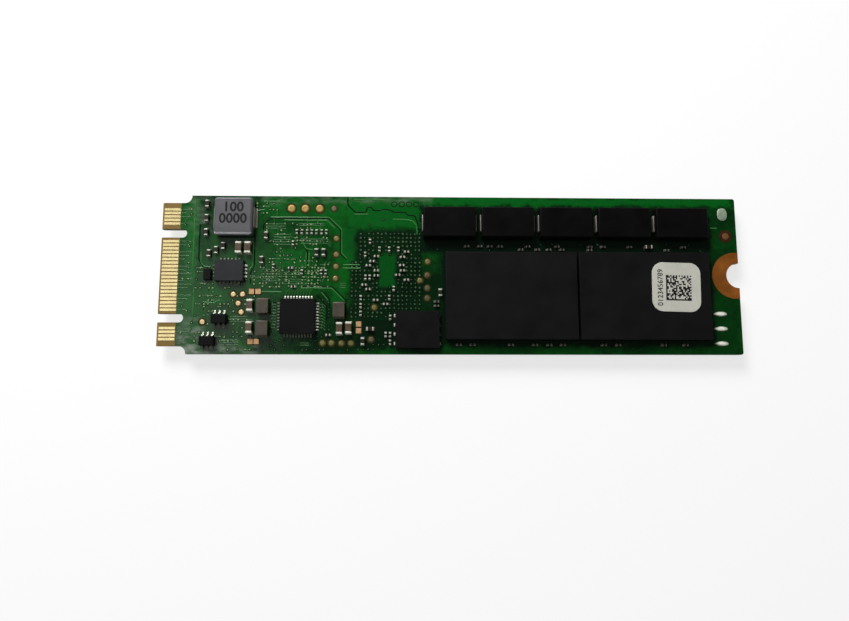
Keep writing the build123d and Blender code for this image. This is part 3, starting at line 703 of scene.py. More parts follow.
# Finishes named for their colour: material, size of the patches and of the grain, depth of the
# grain, least and greatest roughness, drift of the colour, how metallic and how shiny
COATINGS = {
    "mask_gap": ("gap_mask", 1.5, 0.3, 0.002, 0.3, 0.45, 0.25, 0.0, 0.07),
    "via_pale": ("via_pale", 1.2, 0.1, 0.003, 0.25, 0.4, 0.4, 0.0, 0.5),
    "via_dull": ("via_dull", 0.8, 0.3, 0.003, 0.3, 0.45, 0.7, 0.0, 0.2),
    "pad_gold": ("pad_gold", 0.5, 0.12, 0.004, 0.4, 0.55, 0.2, 0.6, 0.5),
    "collar": ("pad_collar", 0.5, 0.1, 0.002, 0.4, 0.5, 0.25, 0.0, 0.08),
    "opening": ("mask_opening", 0.6, 0.1, 0.002, 0.4, 0.5, 0.25, 0.0, 0.08),
    "fiducial_ring": ("fiducial_ring", 0.5, 0.1, 0.002, 0.4, 0.5, 0.25, 0.0, 0.2),
    "dull_tin": ("dull_tin", 0.7, 0.1, 0.005, 0.42, 0.58, 0.18, 0.5, 0.5),
    "copper": ("ring_copper", 1.6, 0.15, 0.004, 0.4, 0.55, 0.2, 0.6, 0.5),
    "bare_pad": ("bare_pad_copper", 0.6, 0.12, 0.004, 0.4, 0.55, 0.22, 0.5, 0.5),
    "dull_point": ("dull_point", 0.4, 0.1, 0.004, 0.42, 0.58, 0.2, 0.5, 0.5),
    "fiducial": ("fiducial_copper", 0.5, 0.1, 0.004, 0.42, 0.58, 0.2, 0.5, 0.5),
    "sheet_tin": ("terminal_tin", 0.9, 0.1, 0.003, 0.3, 0.45, 0.15, 0.5, 0.5),
    "memory": ("memory_moulding", 3.2, 0.07, 0.005, 0.5, 0.66, 0.3, 0.0, 0.08),
    "chip": ("chip_moulding", 1.8, 0.06, 0.005, 0.48, 0.62, 0.25, 0.0, 0.08),
    "regulator": ("regulator_moulding", 1.6, 0.07, 0.005, 0.5, 0.62, 0.2, 0.0, 0.08),
    "capacitor": ("capacitor_moulding", 2.4, 0.08, 0.004, 0.36, 0.5, 0.3, 0.0, 0.05),
    "coil": ("coil_moulding", 0.8, 0.07, 0.004, 0.28, 0.4, 0.22, 0.0, 0.45),
    "ceramic": ("ceramic_body", 0.5, 0.06, 0.003, 0.25, 0.38, 0.3, 0.0, 0.45),
    "tiny": ("tiny_body", 0.3, 0.06, 0.004, 0.4, 0.55, 0.35, 0.0, 0.2),
    "glaze": ("resistor_glaze", 0.4, 0.08, 0.003, 0.25, 0.4, 0.3, 0.0, 0.5),
    "ink": ("print_ink", 0.6, 0.05, 0.002, 0.6, 0.75, 0.35, 0.0, 0.2),
}
# Finishes that change over a piece
SHADED = {
    "mask": mask_finish,
    "gold": gold_finish,
    "bar_tin": bar_finish,
    "point_gold": point_finish,
    "inductor": powder_finish,
    "paper": paper_finish,
    # Ridges take the pale colour with its painted highlight; fine tracks a darker share of it
    "ridge": lambda look: track_finish("ridge_mask", look.mask_edge, look),
    "track": lambda look: track_finish("track_mask", tinted(look.mask_edge, 0.5), look),
    "solder": lambda look: solder_finish("solder", look.solder, 0.32),
    # Small and tiny tin get painted shade on their flanks; the tiny tin also past x -4.5
    "small_tin": lambda look: solder_finish(
        "small_tin", tinted(look.solder, 0.86), 0.34, CARD_HIGH.x
    ),
    "tiny_tin": lambda look: solder_finish("tiny_tin", tinted(look.solder, 0.85), 0.34, -4.5),
}
FINISHES = {}


def finish(key):
    """The finish of that name, made when it is first asked for."""
    if key not in FINISHES:
        look = bpy.context.scene.drive_card_finish
        if key in COATINGS:
            FINISHES[key] = coating(getattr(look, key), *COATINGS[key])
        else:
            FINISHES[key] = SHADED[key](look)
    return FINISHES[key]


def dress(node, key):
    """Gives a CAD node that stays in view its finish."""
    kept = NODES[node]
    if not kept.material_slots:
        kept.data.materials.append(None)
    for holder in kept.material_slots:
        holder.material = finish(key)


def shown(name, data):
    """A new object in the scene."""
    thing = bpy.data.objects.new(name, data)
    bpy.context.scene.collection.objects.link(thing)
    return thing


def piece_of(mesh, name, slot, *nodes):
    """Keeps a mesh as a piece of the card, fixed to the root, and hides the nodes it stands for;
    the slot is not used.
    """
    piece = shown(name, mesh)
    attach(piece, "root")
    if nodes:
        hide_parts(*nodes)


def to_mesh(bm, name):
    """Turns a shape drawn in millimetres into a mesh in metres."""
    bmesh.ops.recalc_face_normals(bm, faces=bm.faces)
    bmesh.ops.scale(bm, vec=(MM,) * 3, verts=bm.verts)
    mesh = bpy.data.meshes.new(name)
    bm.to_mesh(mesh)
    bm.free()
    return mesh


def drawn(bm, name, key, slot, *nodes):
    """Keeps a shape drawn in millimetres as a piece of the card."""
    mesh = to_mesh(bm, name)
    mesh.materials.append(finish(key))
    piece_of(mesh, name, slot, *nodes)


def merged(node):
    """A copy of a CAD node's mesh, joined up and in millimetres."""
    bm = bmesh.new()
    bm.from_mesh(NODES[node].data)
    bmesh.ops.scale(bm, vec=(1 / MM,) * 3, verts=bm.verts)
    bmesh.ops.remove_doubles(bm, verts=bm.verts, dist=0.0005)
    bmesh.ops.dissolve_limit(bm, angle_limit=math.radians(1), verts=bm.verts, edges=bm.edges)
    return bm


def rounded(bm, edges, radius, segments):
    """Rounds edges off and shades only the roundings smooth, so that flats stay flat."""
    made = bmesh.ops.bevel(
        bm, geom=edges, offset=radius, segments=segments, profile=0.5, affect="EDGES",
        clamp_overlap=True,
    )
    for face in made["faces"]:
        face.smooth = True


def softened(node, name, key, slot, radius, segments=2):
    """Stands a copy with rounded edges in for a CAD node."""
    bm = merged(node)
    sharp = [edge for edge in bm.edges if edge.calc_face_angle(0.0) > math.radians(25)]
    rounded(bm, sharp, radius, segments)
    drawn(bm, name, key, slot, node)


def solids_of(node):
    """Lowest and highest corner of each separate solid of a CAD node, in millimetres."""
    bm = merged(node)
    left = set(bm.verts)
    found = []
    while left:
        start = left.pop()
        group, ahead = [start], [start]
        while ahead:
            for edge in ahead.pop().link_edges:
                for vert in left.intersection(edge.verts):
                    left.remove(vert)
                    group.append(vert)
                    ahead.append(vert)
        corners = list(zip(*(vert.co for vert in group)))
        found.append((Vector(map(min, corners)), Vector(map(max, corners))))
    bm.free()
    return sorted(found, key=lambda box: (round(box[0].x, 3), round(box[0].y, 3)))


def middles(boxes, level=CARD_TOP):
    """Places at the middles of boxes, for stamping."""
    return [((low.x + high.x) / 2, (low.y + high.y) / 2, level, 0.0, 0) for low, high in boxes]


def block(bm, low, high, radius, segments=1):
    """Adds a box between two corners, with rounded edges."""
    verts = bmesh.ops.create_cube(bm, size=1.0)["verts"]
    low, high = Vector(low), Vector(high)
    bmesh.ops.scale(bm, vec=high - low, verts=verts)
    bmesh.ops.translate(bm, vec=(low + high) / 2, verts=verts)
    rounded(bm, list({edge for vert in verts for edge in vert.link_edges}), radius, segments)


def turned(outline, sides):
    """A round shape from its outline of (radius, height), closed at both ends."""
    bm = bmesh.new()
    angles = [2 * math.pi * n / sides for n in range(sides)]
    rings = [
        [bm.verts.new((radius * math.cos(a), radius * math.sin(a), height)) for a in angles]
        for radius, height in outline
    ]
    for lower, upper in zip(rings, rings[1:]):
        for n in range(sides):
            after = (n + 1) % sides
            bm.faces.new((lower[n], lower[after], upper[after], upper[n])).smooth = True
    bm.faces.new(list(reversed(rings[0])))
    bm.faces.new(rings[-1])
    return bm


def washer(rim, inner, height, flat, sides):
    """A thin disc with a steep rim, whose top rises a little to the pad or dot on it."""
    outline = [
        (rim, -SINK), (rim, height), (rim * flat, height + 0.0005), (inner * 0.9, height + 0.001),
    ]
    return turned(outline, sides)


def new_tree(name, inputs):
    """A geometry tree with named inputs; gives its sheet and the inputs' sockets."""
    tree = bpy.data.node_groups.new(name, "GeometryNodeTree")
    face = tree.interface
    face.new_socket("Geometry", in_out="INPUT", socket_type="NodeSocketGeometry")
    face.new_socket("Geometry", in_out="OUTPUT", socket_type="NodeSocketGeometry")
    for label, kind in inputs.items():
        face.new_socket(label, in_out="INPUT", socket_type="NodeSocket" + kind)
    return Sheet(tree), tree.nodes.new("NodeGroupInput").outputs


def end_tree(sheet, geometry, material):
    """Ends a geometry tree with real geometry in its finish."""
    real = sheet.add("GeometryNodeRealizeInstances", {"Geometry": geometry})
    done = sheet.add("GeometryNodeSetMaterial", {"Geometry": real, "Material": material})
    exit_node = sheet.tree.nodes.new("NodeGroupOutput")
    sheet.tree.links.new(done, exit_node.inputs["Geometry"])
    return sheet.tree


def stamp_tree():
    """Stamps a shape on every point, turned by the point and varied in size by a seed."""
    sheet, given = new_tree(
        "Stamp on places",
        {"Shape": "Object", "Finish": "Material", "Spread": "Float", "Seed": "Int"},
    )
    shape = sheet.add("GeometryNodeObjectInfo", {"Object": given["Shape"]}, out="Geometry")
    turn = sheet.add(
        "GeometryNodeInputNamedAttribute", {"Name": "turn"}, data_type="FLOAT_VECTOR"
    )
    smallest = sheet.minus(1.0, given["Spread"])
    largest = sheet.plus(1.0, given["Spread"])
    size = sheet.add(
        "FunctionNodeRandomValue", {2: smallest, 3: largest, "Seed": given["Seed"]}, out=1,
        data_type="FLOAT",
    )
    stamps = sheet.add(
        "GeometryNodeInstanceOnPoints",
        {
            "Points": given["Geometry"],
            "Instance": shape,
            "Rotation": sheet.add("FunctionNodeEulerToRotation", {0: turn}),
            "Scale": sheet.add("ShaderNodeCombineXYZ", {"X": size, "Y": size, "Z": size}),
        },
    )
    return end_tree(sheet, stamps, given["Finish"])


def ribbon_tree():
    """Lays a flat track along every path, with its bends rounded."""
    sheet, given = new_tree(
        "Ribbon along paths",
        {"Finish": "Material", "Width": "Float", "Height": "Float", "Bend": "Float"},
    )
    path = sheet.add("GeometryNodeMeshToCurve", {"Mesh": given["Geometry"]})
    path = sheet.add(
        "GeometryNodeFilletCurve",
        {"Curve": path, "Count": 3, "Radius": given["Bend"], "Limit Radius": True}, mode="POLY",
    )
    path = sheet.add("GeometryNodeSetCurveNormal", {"Curve": path}, mode="Z_UP")
    section = sheet.add(
        "GeometryNodeCurvePrimitiveQuadrilateral",
        {"Width": given["Width"], "Height": given["Height"]},
    )
    ribbon = sheet.add(
        "GeometryNodeCurveToMesh", {"Curve": path, "Profile Curve": section, "Fill Caps": True}
    )
    return end_tree(sheet, ribbon, given["Finish"])


def code_tree():
    """Fills a square of cells: two solid sides, two broken sides and a seeded middle."""
    sheet, given = new_tree(
        "Code block",
        {"Finish": "Material", "Size": "Float", "Cells": "Int", "Height": "Float", "Seed": "Int"},
    )
    cells = given["Cells"]
    cell = sheet.over(given["Size"], cells)
    reach = sheet.minus(given["Size"], cell)
    grid = sheet.add(
        "GeometryNodeMeshGrid",
        {"Size X": reach, "Size Y": reach, "Vertices X": cells, "Vertices Y": cells},
    )
    number = sheet.add("GeometryNodeInputIndex")
    column = sheet.reckon("FLOOR", sheet.over(sheet.plus(number, 0.1), cells))
    row = sheet.reckon("MODULO", number, cells)
    last = sheet.minus(cells, 1.5)
    solid = sheet.most(sheet.below(column, 0.5), sheet.below(row, 0.5))
    rim = sheet.most(sheet.above(column, last), sheet.above(row, last))
    broken = sheet.below(sheet.reckon("MODULO", sheet.plus(column, row), 2.0), 0.5)
    filler = sheet.add(
        "FunctionNodeRandomValue", {"Probability": 0.5, "Seed": given["Seed"]}, out=3,
        data_type="BOOLEAN",
    )
    inner = sheet.times(sheet.minus(1.0, rim), filler)
    marked = sheet.most(sheet.most(solid, inner), sheet.times(rim, broken))
    # A cell is a little larger than its share, so that no slit shows between two
    side = sheet.times(cell, 1.02)
    square = sheet.add(
        "GeometryNodeMeshCube",
        {"Size": sheet.add("ShaderNodeCombineXYZ", {"X": side, "Y": side, "Z": given["Height"]})},
    )
    stamps = sheet.add(
        "GeometryNodeInstanceOnPoints",
        {"Points": grid, "Selection": sheet.above(marked, 0.5), "Instance": square},
    )
    return end_tree(sheet, stamps, given["Finish"])


TREES = {"stamp": stamp_tree, "ribbon": ribbon_tree, "code": code_tree}
BUILT_TREES = {}


def plain_mesh(holder, name):
    """An object's finished mesh; the object itself goes."""
    depsgraph = bpy.context.evaluated_depsgraph_get()
    mesh = bpy.data.meshes.new_from_object(holder.evaluated_get(depsgraph), depsgraph=depsgraph)
    bpy.data.objects.remove(holder)
    mesh.name = name
    return mesh


def grown(name, carrier, tree_name, values):
    """Runs a geometry tree on a carrier mesh and gives the result as a plain mesh."""
    if tree_name not in BUILT_TREES:
        BUILT_TREES[tree_name] = TREES[tree_name]()
    tree = BUILT_TREES[tree_name]
    holder = shown(name + "_carrier", carrier)
    modifier = holder.modifiers.new("Grow", "NODES")
    modifier.node_group = tree
    for item in tree.interface.items_tree:
        if item.in_out == "INPUT" and item.name in values:
            modifier[item.identifier] = values[item.name]
    mesh = plain_mesh(holder, name)
    if not mesh.polygons:
        raise RuntimeError(f"the {tree_name} tree made no faces")
    return mesh


def stamped(name, form, places, key, slot, *nodes, spread=0.0, seed=1):
    """Stamps a shape on places given as (x, y, z, turn, flipped) and keeps it as a piece."""
    points = bpy.data.meshes.new(name + "_places")
    points.from_pydata([(x * MM, y * MM, z * MM) for x, y, z, _, _ in places], [], [])
    turns = points.attributes.new("turn", "FLOAT_VECTOR", "POINT")
    turns.data.foreach_set(
        "vector", [part for *_, turn, flip in places for part in (math.pi * flip, 0.0, turn)]
    )
    shape = shown(name + "_form", to_mesh(form, name + "_form"))
    mesh = grown(
        name, points, "stamp",
        {"Shape": shape, "Finish": finish(key), "Spread": spread, "Seed": seed},
    )
    bpy.data.objects.remove(shape)
    piece_of(mesh, name, slot, *nodes)


def ribbons(name, paths, level, key, width, height, bend):
    """Lays tracks along paths of (x, y) at a level in millimetres, as one piece."""
    verts, edges = [], []
    for path in paths:
        first = len(verts)
        verts += [(x * MM, y * MM, level * MM) for x, y in path]
        edges += [(first + n, first + n + 1) for n in range(len(path) - 1)]
    carrier = bpy.data.meshes.new(name + "_paths")
    carrier.from_pydata(verts, edges, [])
    mesh = grown(
        name, carrier, "ribbon",
        {"Finish": finish(key), "Width": width, "Height": height, "Bend": bend},
    )
    piece_of(mesh, name, "solder_mask")


def digits_piece(name, digits, height, bold, place, slot):
    """Prints plain digits as a thin raised piece, at a place given as a matrix."""
    curve = bpy.data.curves.new(name, "FONT")
    curve.body = digits
    curve.size = height * MM
    curve.extrude = 0.004 * MM
    curve.offset = bold * MM
    curve.resolution_u = 3
    curve.align_x = "CENTER"
    curve.align_y = "CENTER"
    mesh = plain_mesh(shown(name + "_writing", curve), name)
    mesh.transform(place)
    mesh.materials.clear()
    mesh.materials.append(finish("ink"))
    piece_of(mesh, name, slot)


def repeated(groups):
    """Spreads groups of like lines out into single paths."""
    return [
        [(x + step[0] * n, y + step[1] * n) for x, y in path]
        for path, step, count in groups
        for n in range(count)
    ]


def footprints(upper):
    """Boxes of all that stands on one face of the card."""
    boxes = []
    for node in NODES:
        if node != "circuit_card" and upper == (box_of(node)[1].z > CARD_TOP + 0.01):
            boxes += solids_of(node)
    return boxes


def via_places(fields, seed, upper=True, clearings=SLOT_CLEARINGS):
    """Places of vias in loose grids, clear of the parts that stand on that face."""
    pick = random.Random(seed)
    taken = [
        (low.x - VIA_MARGIN, high.x + VIA_MARGIN, low.y - VIA_MARGIN, high.y + VIA_MARGIN)
        for low, high in footprints(upper)
    ]
    places = []
    for left, right, low, high, pitch, share in fields:
        for column in range(int((right - left) / pitch) + 1):
            for row in range(int((high - low) / pitch) + 1):
                x = left + column * pitch + pick.uniform(-VIA_STRAY, VIA_STRAY)
                y = low + row * pitch + pick.uniform(-VIA_STRAY, VIA_STRAY)
                if pick.random() <= share and not any(
                    a < x < b and c < y < d for a, b, c, d in (*clearings, *taken)
                ):
                    places.append((x, y))
    return places


def stub_paths(places, seed):
    """Short tracks that leave some vias along, across or aslant the card."""
    pick = random.Random(seed)
    left, right, low, high = STUB_LIMITS
    paths = []
    for x, y in places:
        if pick.random() < 0.4:
            continue
        heading = pick.choice((0, 90, 180, 270))
        path = [(x, y)]
        for turn in (0, pick.choice((-45, 0, 45))):
            angle = math.radians(heading + turn)
            run = pick.uniform(0.25, 0.75)
            x += run * math.cos(angle)
            y += run * math.sin(angle)
            path.append((x, y))
        if all(left < a < right and low < b < high for a, b in path):
            paths.append(path)
    return paths


class DRIVECARD_OT_board(bpy.types.Operator):
    """Gives the card its mask, and its contacts and bare copper their metal"""

    bl_idname = "drive_card.board"
    bl_label = "Card and contacts"
    bl_options = {"REGISTER", "UNDO"}

    def execute(self, context):
        dress("circuit_card", "mask")
        for face in ("upper", "lower"):
            softened(
                f"contact_fingers_{face}", f"edge_contacts_{face}", "gold", "contact_gold",
                FOIL_ROUND, 1,
            )
            dress(f"screw_ring_{face}", "copper")
        softened("bare_pads", "empty_pads", "bare_pad", "bare_copper", FOIL_ROUND, 1)
        return {"FINISHED"}


class DRIVECARD_OT_tracks(bpy.types.Operator):
    """Lays the tracks and copper edges that show through the mask on both faces"""

    bl_idname = "drive_card.tracks"
    bl_label = "Tracks"
    bl_options = {"REGISTER", "UNDO"}

    def execute(self, context):
        detail = context.scene.drive_card_detail
        rise, width = detail.relief, detail.track_width
        stubs = stub_paths(via_places(VIA_FIELDS, STRAY_SEED), STUB_SEED)
        fine = repeated(BUS_PATHS) + stubs + self.escapes()
        unders = via_places(UNDER_VIA_FIELDS, UNDER_SEED, False)
        unders = repeated(UNDER_BUS_PATHS) + stub_paths(unders, UNDER_STUB_SEED)
        outlines = [[(x + a, y + b) for a, b in OUTLINE_CORNERS] for x, y in OUTLINE_PLACES]
        for name, paths, level, key, wide, high in (
            ("copper_gaps", GAP_PATHS, CARD_TOP, "mask_gap", detail.gap_width, rise * 0.7),
            ("copper_edges", RIDGE_PATHS, CARD_TOP, "ridge", detail.ridge_width, rise * 1.6),
            ("fine_tracks", fine, CARD_TOP, "track", width, rise),
            ("pad_outlines", outlines, CARD_TOP, "mask_gap", OUTLINE_WIDTH * MM, rise),
            ("under_tracks", unders, CARD_BOTTOM, "track", width, rise),
        ):
            ribbons(name, paths, level, key, wide, 2 * high, detail.bend)
        return {"FINISHED"}

    def escapes(self):
        """Short tracks that leave three of every four contacts, to three lengths."""
        paths = []
        for n, (low, high) in enumerate(solids_of("contact_fingers_upper")):
            if n % 4 != 1:
                y, further = (low.y + high.y) / 2, 0.5 * (n % 3)
                slant = 0.4 - 0.8 * (n % 2)
                paths.append([(MASK_END, y), (further - 36.6, y), (further - 36.2, y + slant)])
        return paths


class DRIVECARD_OT_vias(bpy.types.Operator):
    """Stamps the vias: a dark ring in the mask and a lighter dot"""

    bl_idname = "drive_card.vias"
    bl_label = "Vias"
    bl_options = {"REGISTER", "UNDO"}

    SIDES = 9

    def execute(self, context):
        detail = context.scene.drive_card_detail
        moat, dot = detail.via_moat / MM, detail.via_dot / MM
        deep = via_places(CONTROLLER_FIELDS, FIELD_SEED, clearings=VIA_CLEARINGS)
        self.kind("field_vias", deep, moat, dot, "via_dull")
        dulls = via_places(DULL_VIA_FIELDS, DULL_SEED, clearings=())
        self.kind("plain_vias", dulls, moat * 0.74, dot * 0.7, "via_dull")
        unders = via_places(UNDER_VIA_FIELDS, UNDER_SEED, False)
        self.kind("under_vias", unders, moat * 0.8, dot, "via_pale", CARD_BOTTOM, 1)
        strays = via_places(VIA_FIELDS, STRAY_SEED)
        self.kind("stray_vias", strays, moat * 0.78, dot * 0.95, "via_pale")
        return {"FINISHED"}

    def kind(self, name, spots, moat, dot, key, level=CARD_TOP, flip=0):
        """Stamps one kind of via as moats and dots."""
        places = [(x, y, level, 0.0, flip) for x, y in spots]
        ring = washer(moat, dot, 0.0035, 0.96, self.SIDES)
        stamped(f"{name}_moats", ring, places, "mask_gap", "solder_mask", spread=0.08, seed=3)
        outline = [(dot, -SINK), (dot * 0.95, 0.012), (dot * 0.6, 0.02), (dot * 0.25, 0.016)]
        crown = turned(outline, self.SIDES)
        stamped(f"{name}_dots", crown, places, key, "solder_mask", spread=0.28, seed=3)


class DRIVECARD_OT_pads(bpy.types.Operator):
    """Stamps the round pads and test points, and raises the tinned places"""

    bl_idname = "drive_card.pads"
    bl_label = "Pads and tinned places"
    bl_options = {"REGISTER", "UNDO"}

    # Node, piece, finish, slot, sides, finish of the collar and its reach as a share of the pad
    ROUND_PADS = [
        ("probe_pads", "probe_discs", "pad_gold", "pad_gold", 28, "collar", 1.3),
        ("test_points", "test_discs", "point_gold", "pad_gold", 20, "collar", 1.4),
        ("tinned_points", "tinned_discs", "dull_point", "solder_tin", 20, "collar", 1.35),
        ("fiducial", "fiducial_disc", "fiducial", "bare_copper", 28, "fiducial_ring", 1.75),
    ]
    COLLAR_SIDES = 24
    # How far the mask stands back from a collar, as a share, and from an empty pad
    OPENING_REACH = 1.22
    FRAME_REACH = 0.13
    # A tin bead's sides and its steps from the foot to the top
    BEAD_SIDES = 28
    BEAD_STEPS = 6

    def execute(self, context):
        for node, name, key, slot, sides, collar, reach in self.ROUND_PADS:
            boxes = solids_of(node)
            places = middles(boxes)
            low, high = boxes[0]
            radius = (high.x - low.x) / 2
            rise = high.z - CARD_TOP
            outline = [
                (radius, 0.0), (radius, rise * 0.6), (radius * 0.94, rise),
                (radius * 0.6, rise * 0.92), (radius * 0.2, rise * 0.8),
            ]
            stamped(name, turned(outline, sides), places, key, slot, node)
            rim = radius * reach
            for part, edge, height, paint in (
                ("collars", rim, 0.0055, collar),
                ("openings", rim * self.OPENING_REACH, 0.0025, "opening"),
            ):
                form = washer(edge, radius, height, 0.98, self.COLLAR_SIDES)
                stamped(f"{node}_{part}", form, places, paint, "solder_mask")
        frames = bmesh.new()
        reach = Vector((self.FRAME_REACH, self.FRAME_REACH))
        for low, high in solids_of("bare_pads"):
            low, high = low.xy - reach, high.xy + reach
            block(frames, (*low, CARD_TOP - SINK), (*high, CARD_TOP + 0.004), 0.003)
        drawn(frames, "bare_pad_openings", "opening", "solder_mask")
        self.tin("tin_bars", "tin_bar_beads", "bar_tin", 1.0, 1.7, 0.85)
        self.tin("tin_spot", "tin_spot_bead", "dull_tin", 0.8, 0.9, 0.9)
        return {"FINISHED"}

    def tin(self, node, name, key, crown, left_taper, right_taper):
        """Raises a smooth bead of tin over each tinned place; a taper over 1 gives a point."""
        bm = bmesh.new()
        around = self.BEAD_SIDES
        for low, high in solids_of(node):
            middle, half = (low + high) / 2, (high - low) / 2
            rings = []
            for step in range(self.BEAD_STEPS):
                slope = math.pi / 2 * step / self.BEAD_STEPS
                z = CARD_TOP + 2 * half.z * math.sin(slope)
                ring = []
                for n in range(around):
                    angle = 2 * math.pi * n / around
                    along, across = math.cos(angle), math.sin(angle)
                    taper = left_taper if along < 0 else right_taper
                    x = half.x * math.cos(slope) * math.copysign(abs(along) ** crown, along)
                    y = half.y * math.cos(slope) * math.copysign(abs(across) ** taper, across)
                    ring.append(bm.verts.new((middle.x + x, middle.y + y, z)))
                rings.append(ring)
            top = bm.verts.new((middle.x, middle.y, high.z))
            for n in range(around):
                after = (n + 1) % around
                for lower, upper in zip(rings, rings[1:]):
                    bm.faces.new((lower[n], lower[after], upper[after], upper[n]))
                bm.faces.new((rings[-1][n], rings[-1][after], top))
            bm.faces.new(list(reversed(rings[0])))
        for face in bm.faces:
            face.smooth = len(face.verts) < 5
        drawn(bm, name, key, "solder_tin", node)


class DRIVECARD_OT_packages(bpy.types.Operator):
    """Rounds the memory, controller and buffer packages and sets their solder balls"""

    bl_idname = "drive_card.packages"
    bl_label = "Ball-grid packages"
    bl_options = {"REGISTER", "UNDO"}

    PACKAGES = (
        "memory_upper_1", "memory_upper_2", "memory_lower_1", "memory_lower_2", "controller",
        "buffer_memory",
    )
    # A ball's outline: shares of its column's radius and height
    BALL = ((0.8, 0.0), (1.05, 0.25), (1.15, 0.5), (1.05, 0.75), (0.8, 1.0))
    BALL_SIDES = 10

    def execute(self, context):
        detail = context.scene.drive_card_detail
        for node in self.PACKAGES:
            softened(node, f"{node}_body", "memory", "package_black", detail.package_round / MM)
        for node in ("memory_balls_upper", "memory_balls_lower", "logic_balls"):
            boxes = solids_of(node)
            low, high = boxes[0]
            wide, tall = (high.x - low.x) / 2, high.z - low.z
            ball = turned([(wide * a, tall * b) for a, b in self.BALL], self.BALL_SIDES)
            stamped(
                f"{node}_round", ball, middles(boxes, low.z), "solder", "solder_tin", node,
                spread=0.03, seed=4,
            )
        return {"FINISHED"}


class DRIVECARD_OT_holdup(bpy.types.Operator):
    """Rounds the hold-up capacitors and their sheet terminals"""

    bl_idname = "drive_card.holdup"
    bl_label = "Hold-up capacitors"
    bl_options = {"REGISTER", "UNDO"}

    ROUND = 0.1

    def execute(self, context):
        for node in sorted(node for node in NODES if node.startswith("holdup_capacitor_")):
            softened(node, f"{node}_body", "capacitor", "capacitor_black", self.ROUND, 3)
            node = node.replace("capacitor", "terminals")
            softened(node, f"{node}_sheet", "sheet_tin", "terminal_tin", SHEET_ROUND)
        return {"FINISHED"}


class DRIVECARD_OT_inductor(bpy.types.Operator):
    """Rounds the power inductor and prints plain digits on it"""

    bl_idname = "drive_card.inductor"
    bl_label = "Power inductor"
    bl_options = {"REGISTER", "UNDO"}

    ROUND = 0.06
    # The solder foot at a terminal: reach, how far it goes under, height, margin and rounding
    FOOT_REACH, FOOT_UNDER, FOOT_HEIGHT, FOOT_MARGIN, FOOT_ROUND = 0.3, 0.05, 0.12, 0.1, 0.05
    # Digits: height, how much bolder, and each line's place across the body
    DIGIT_HEIGHT, DIGIT_BOLD = 1.9, 0.05
    UPPER_LINE, LOWER_LINE = 1.15, -0.45

    def execute(self, context):
        detail = context.scene.drive_card_detail
        softened("power_inductor", "power_inductor_body", "inductor", "inductor_grey", self.ROUND)
        node = "power_inductor_terminals"
        softened(node, "power_inductor_sheet", "sheet_tin", "terminal_tin", SHEET_ROUND)
        low, high = box_of(node)
        feet = bmesh.new()
        for left, right in (
            (low.x - self.FOOT_REACH, low.x + self.FOOT_UNDER),
            (high.x - self.FOOT_UNDER, high.x + self.FOOT_REACH),
        ):
            near = (left, low.y + self.FOOT_MARGIN, CARD_TOP - SINK)
            far = (right, high.y - self.FOOT_MARGIN, CARD_TOP + self.FOOT_HEIGHT)
            block(feet, near, far, self.FOOT_ROUND, 2)
        drawn(feet, "power_inductor_feet", "sheet_tin", "solder_tin")
        low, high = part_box("power_inductor")
        middle = (low + high) / 2
        for line, digits, across in (
            ("upper", detail.inductor_top, self.UPPER_LINE),
            ("lower", detail.inductor_low, self.LOWER_LINE),
        ):
            digits_piece(
                f"inductor_digits_{line}", digits, self.DIGIT_HEIGHT, self.DIGIT_BOLD,
                Matrix.Translation((middle.x, middle.y + across * MM, high.z - 0.001 * MM)),
                "inductor_grey",
            )
        return {"FINISHED"}


class DRIVECARD_OT_flat_chips(bpy.types.Operator):
    """Rounds the flat chips, the logic packages and all their leads"""

    bl_idname = "drive_card.flat_chips"
    bl_label = "Chips and leads"
    bl_options = {"REGISTER", "UNDO"}

    CHIPS = [
        ("regulator", "regulator", "chip_grey"),
        ("power_manager", "chip", "chip_black"),
        ("firmware_flash", "chip", "chip_black"),
        ("clamp_diode", "chip", "chip_black"),
        ("logic_gate_1", "chip", "chip_black"),
        ("logic_gate_2", "chip", "chip_black"),
    ]
    # Leads, their chip and the sides that painted shade darkens
    LEADS = [
        ("regulator_leads", "regulator", ("left", "far", "near")),
        ("power_manager_leads", "power_manager", ("left", "near")),
        ("firmware_flash_leads", "firmware_flash", ("right",)),
        ("logic_gate_leads_1", "logic_gate_1", ("near",)),
        ("logic_gate_leads_2", "logic_gate_2", ("near",)),
    ]

    def execute(self, context):
        detail = context.scene.drive_card_detail
        for node, key, slot in self.CHIPS:
            softened(node, f"{node}_body", key, slot, detail.chip_round / MM)
        look = context.scene.drive_card_finish
        for node, chip, shaded_sides in self.LEADS:
            FINISHES[node] = lead_finish(f"{node}_solder", chip, shaded_sides, look)
            softened(node, f"{node}_metal", node, "solder_tin", LEAD_ROUND)
        return {"FINISHED"}


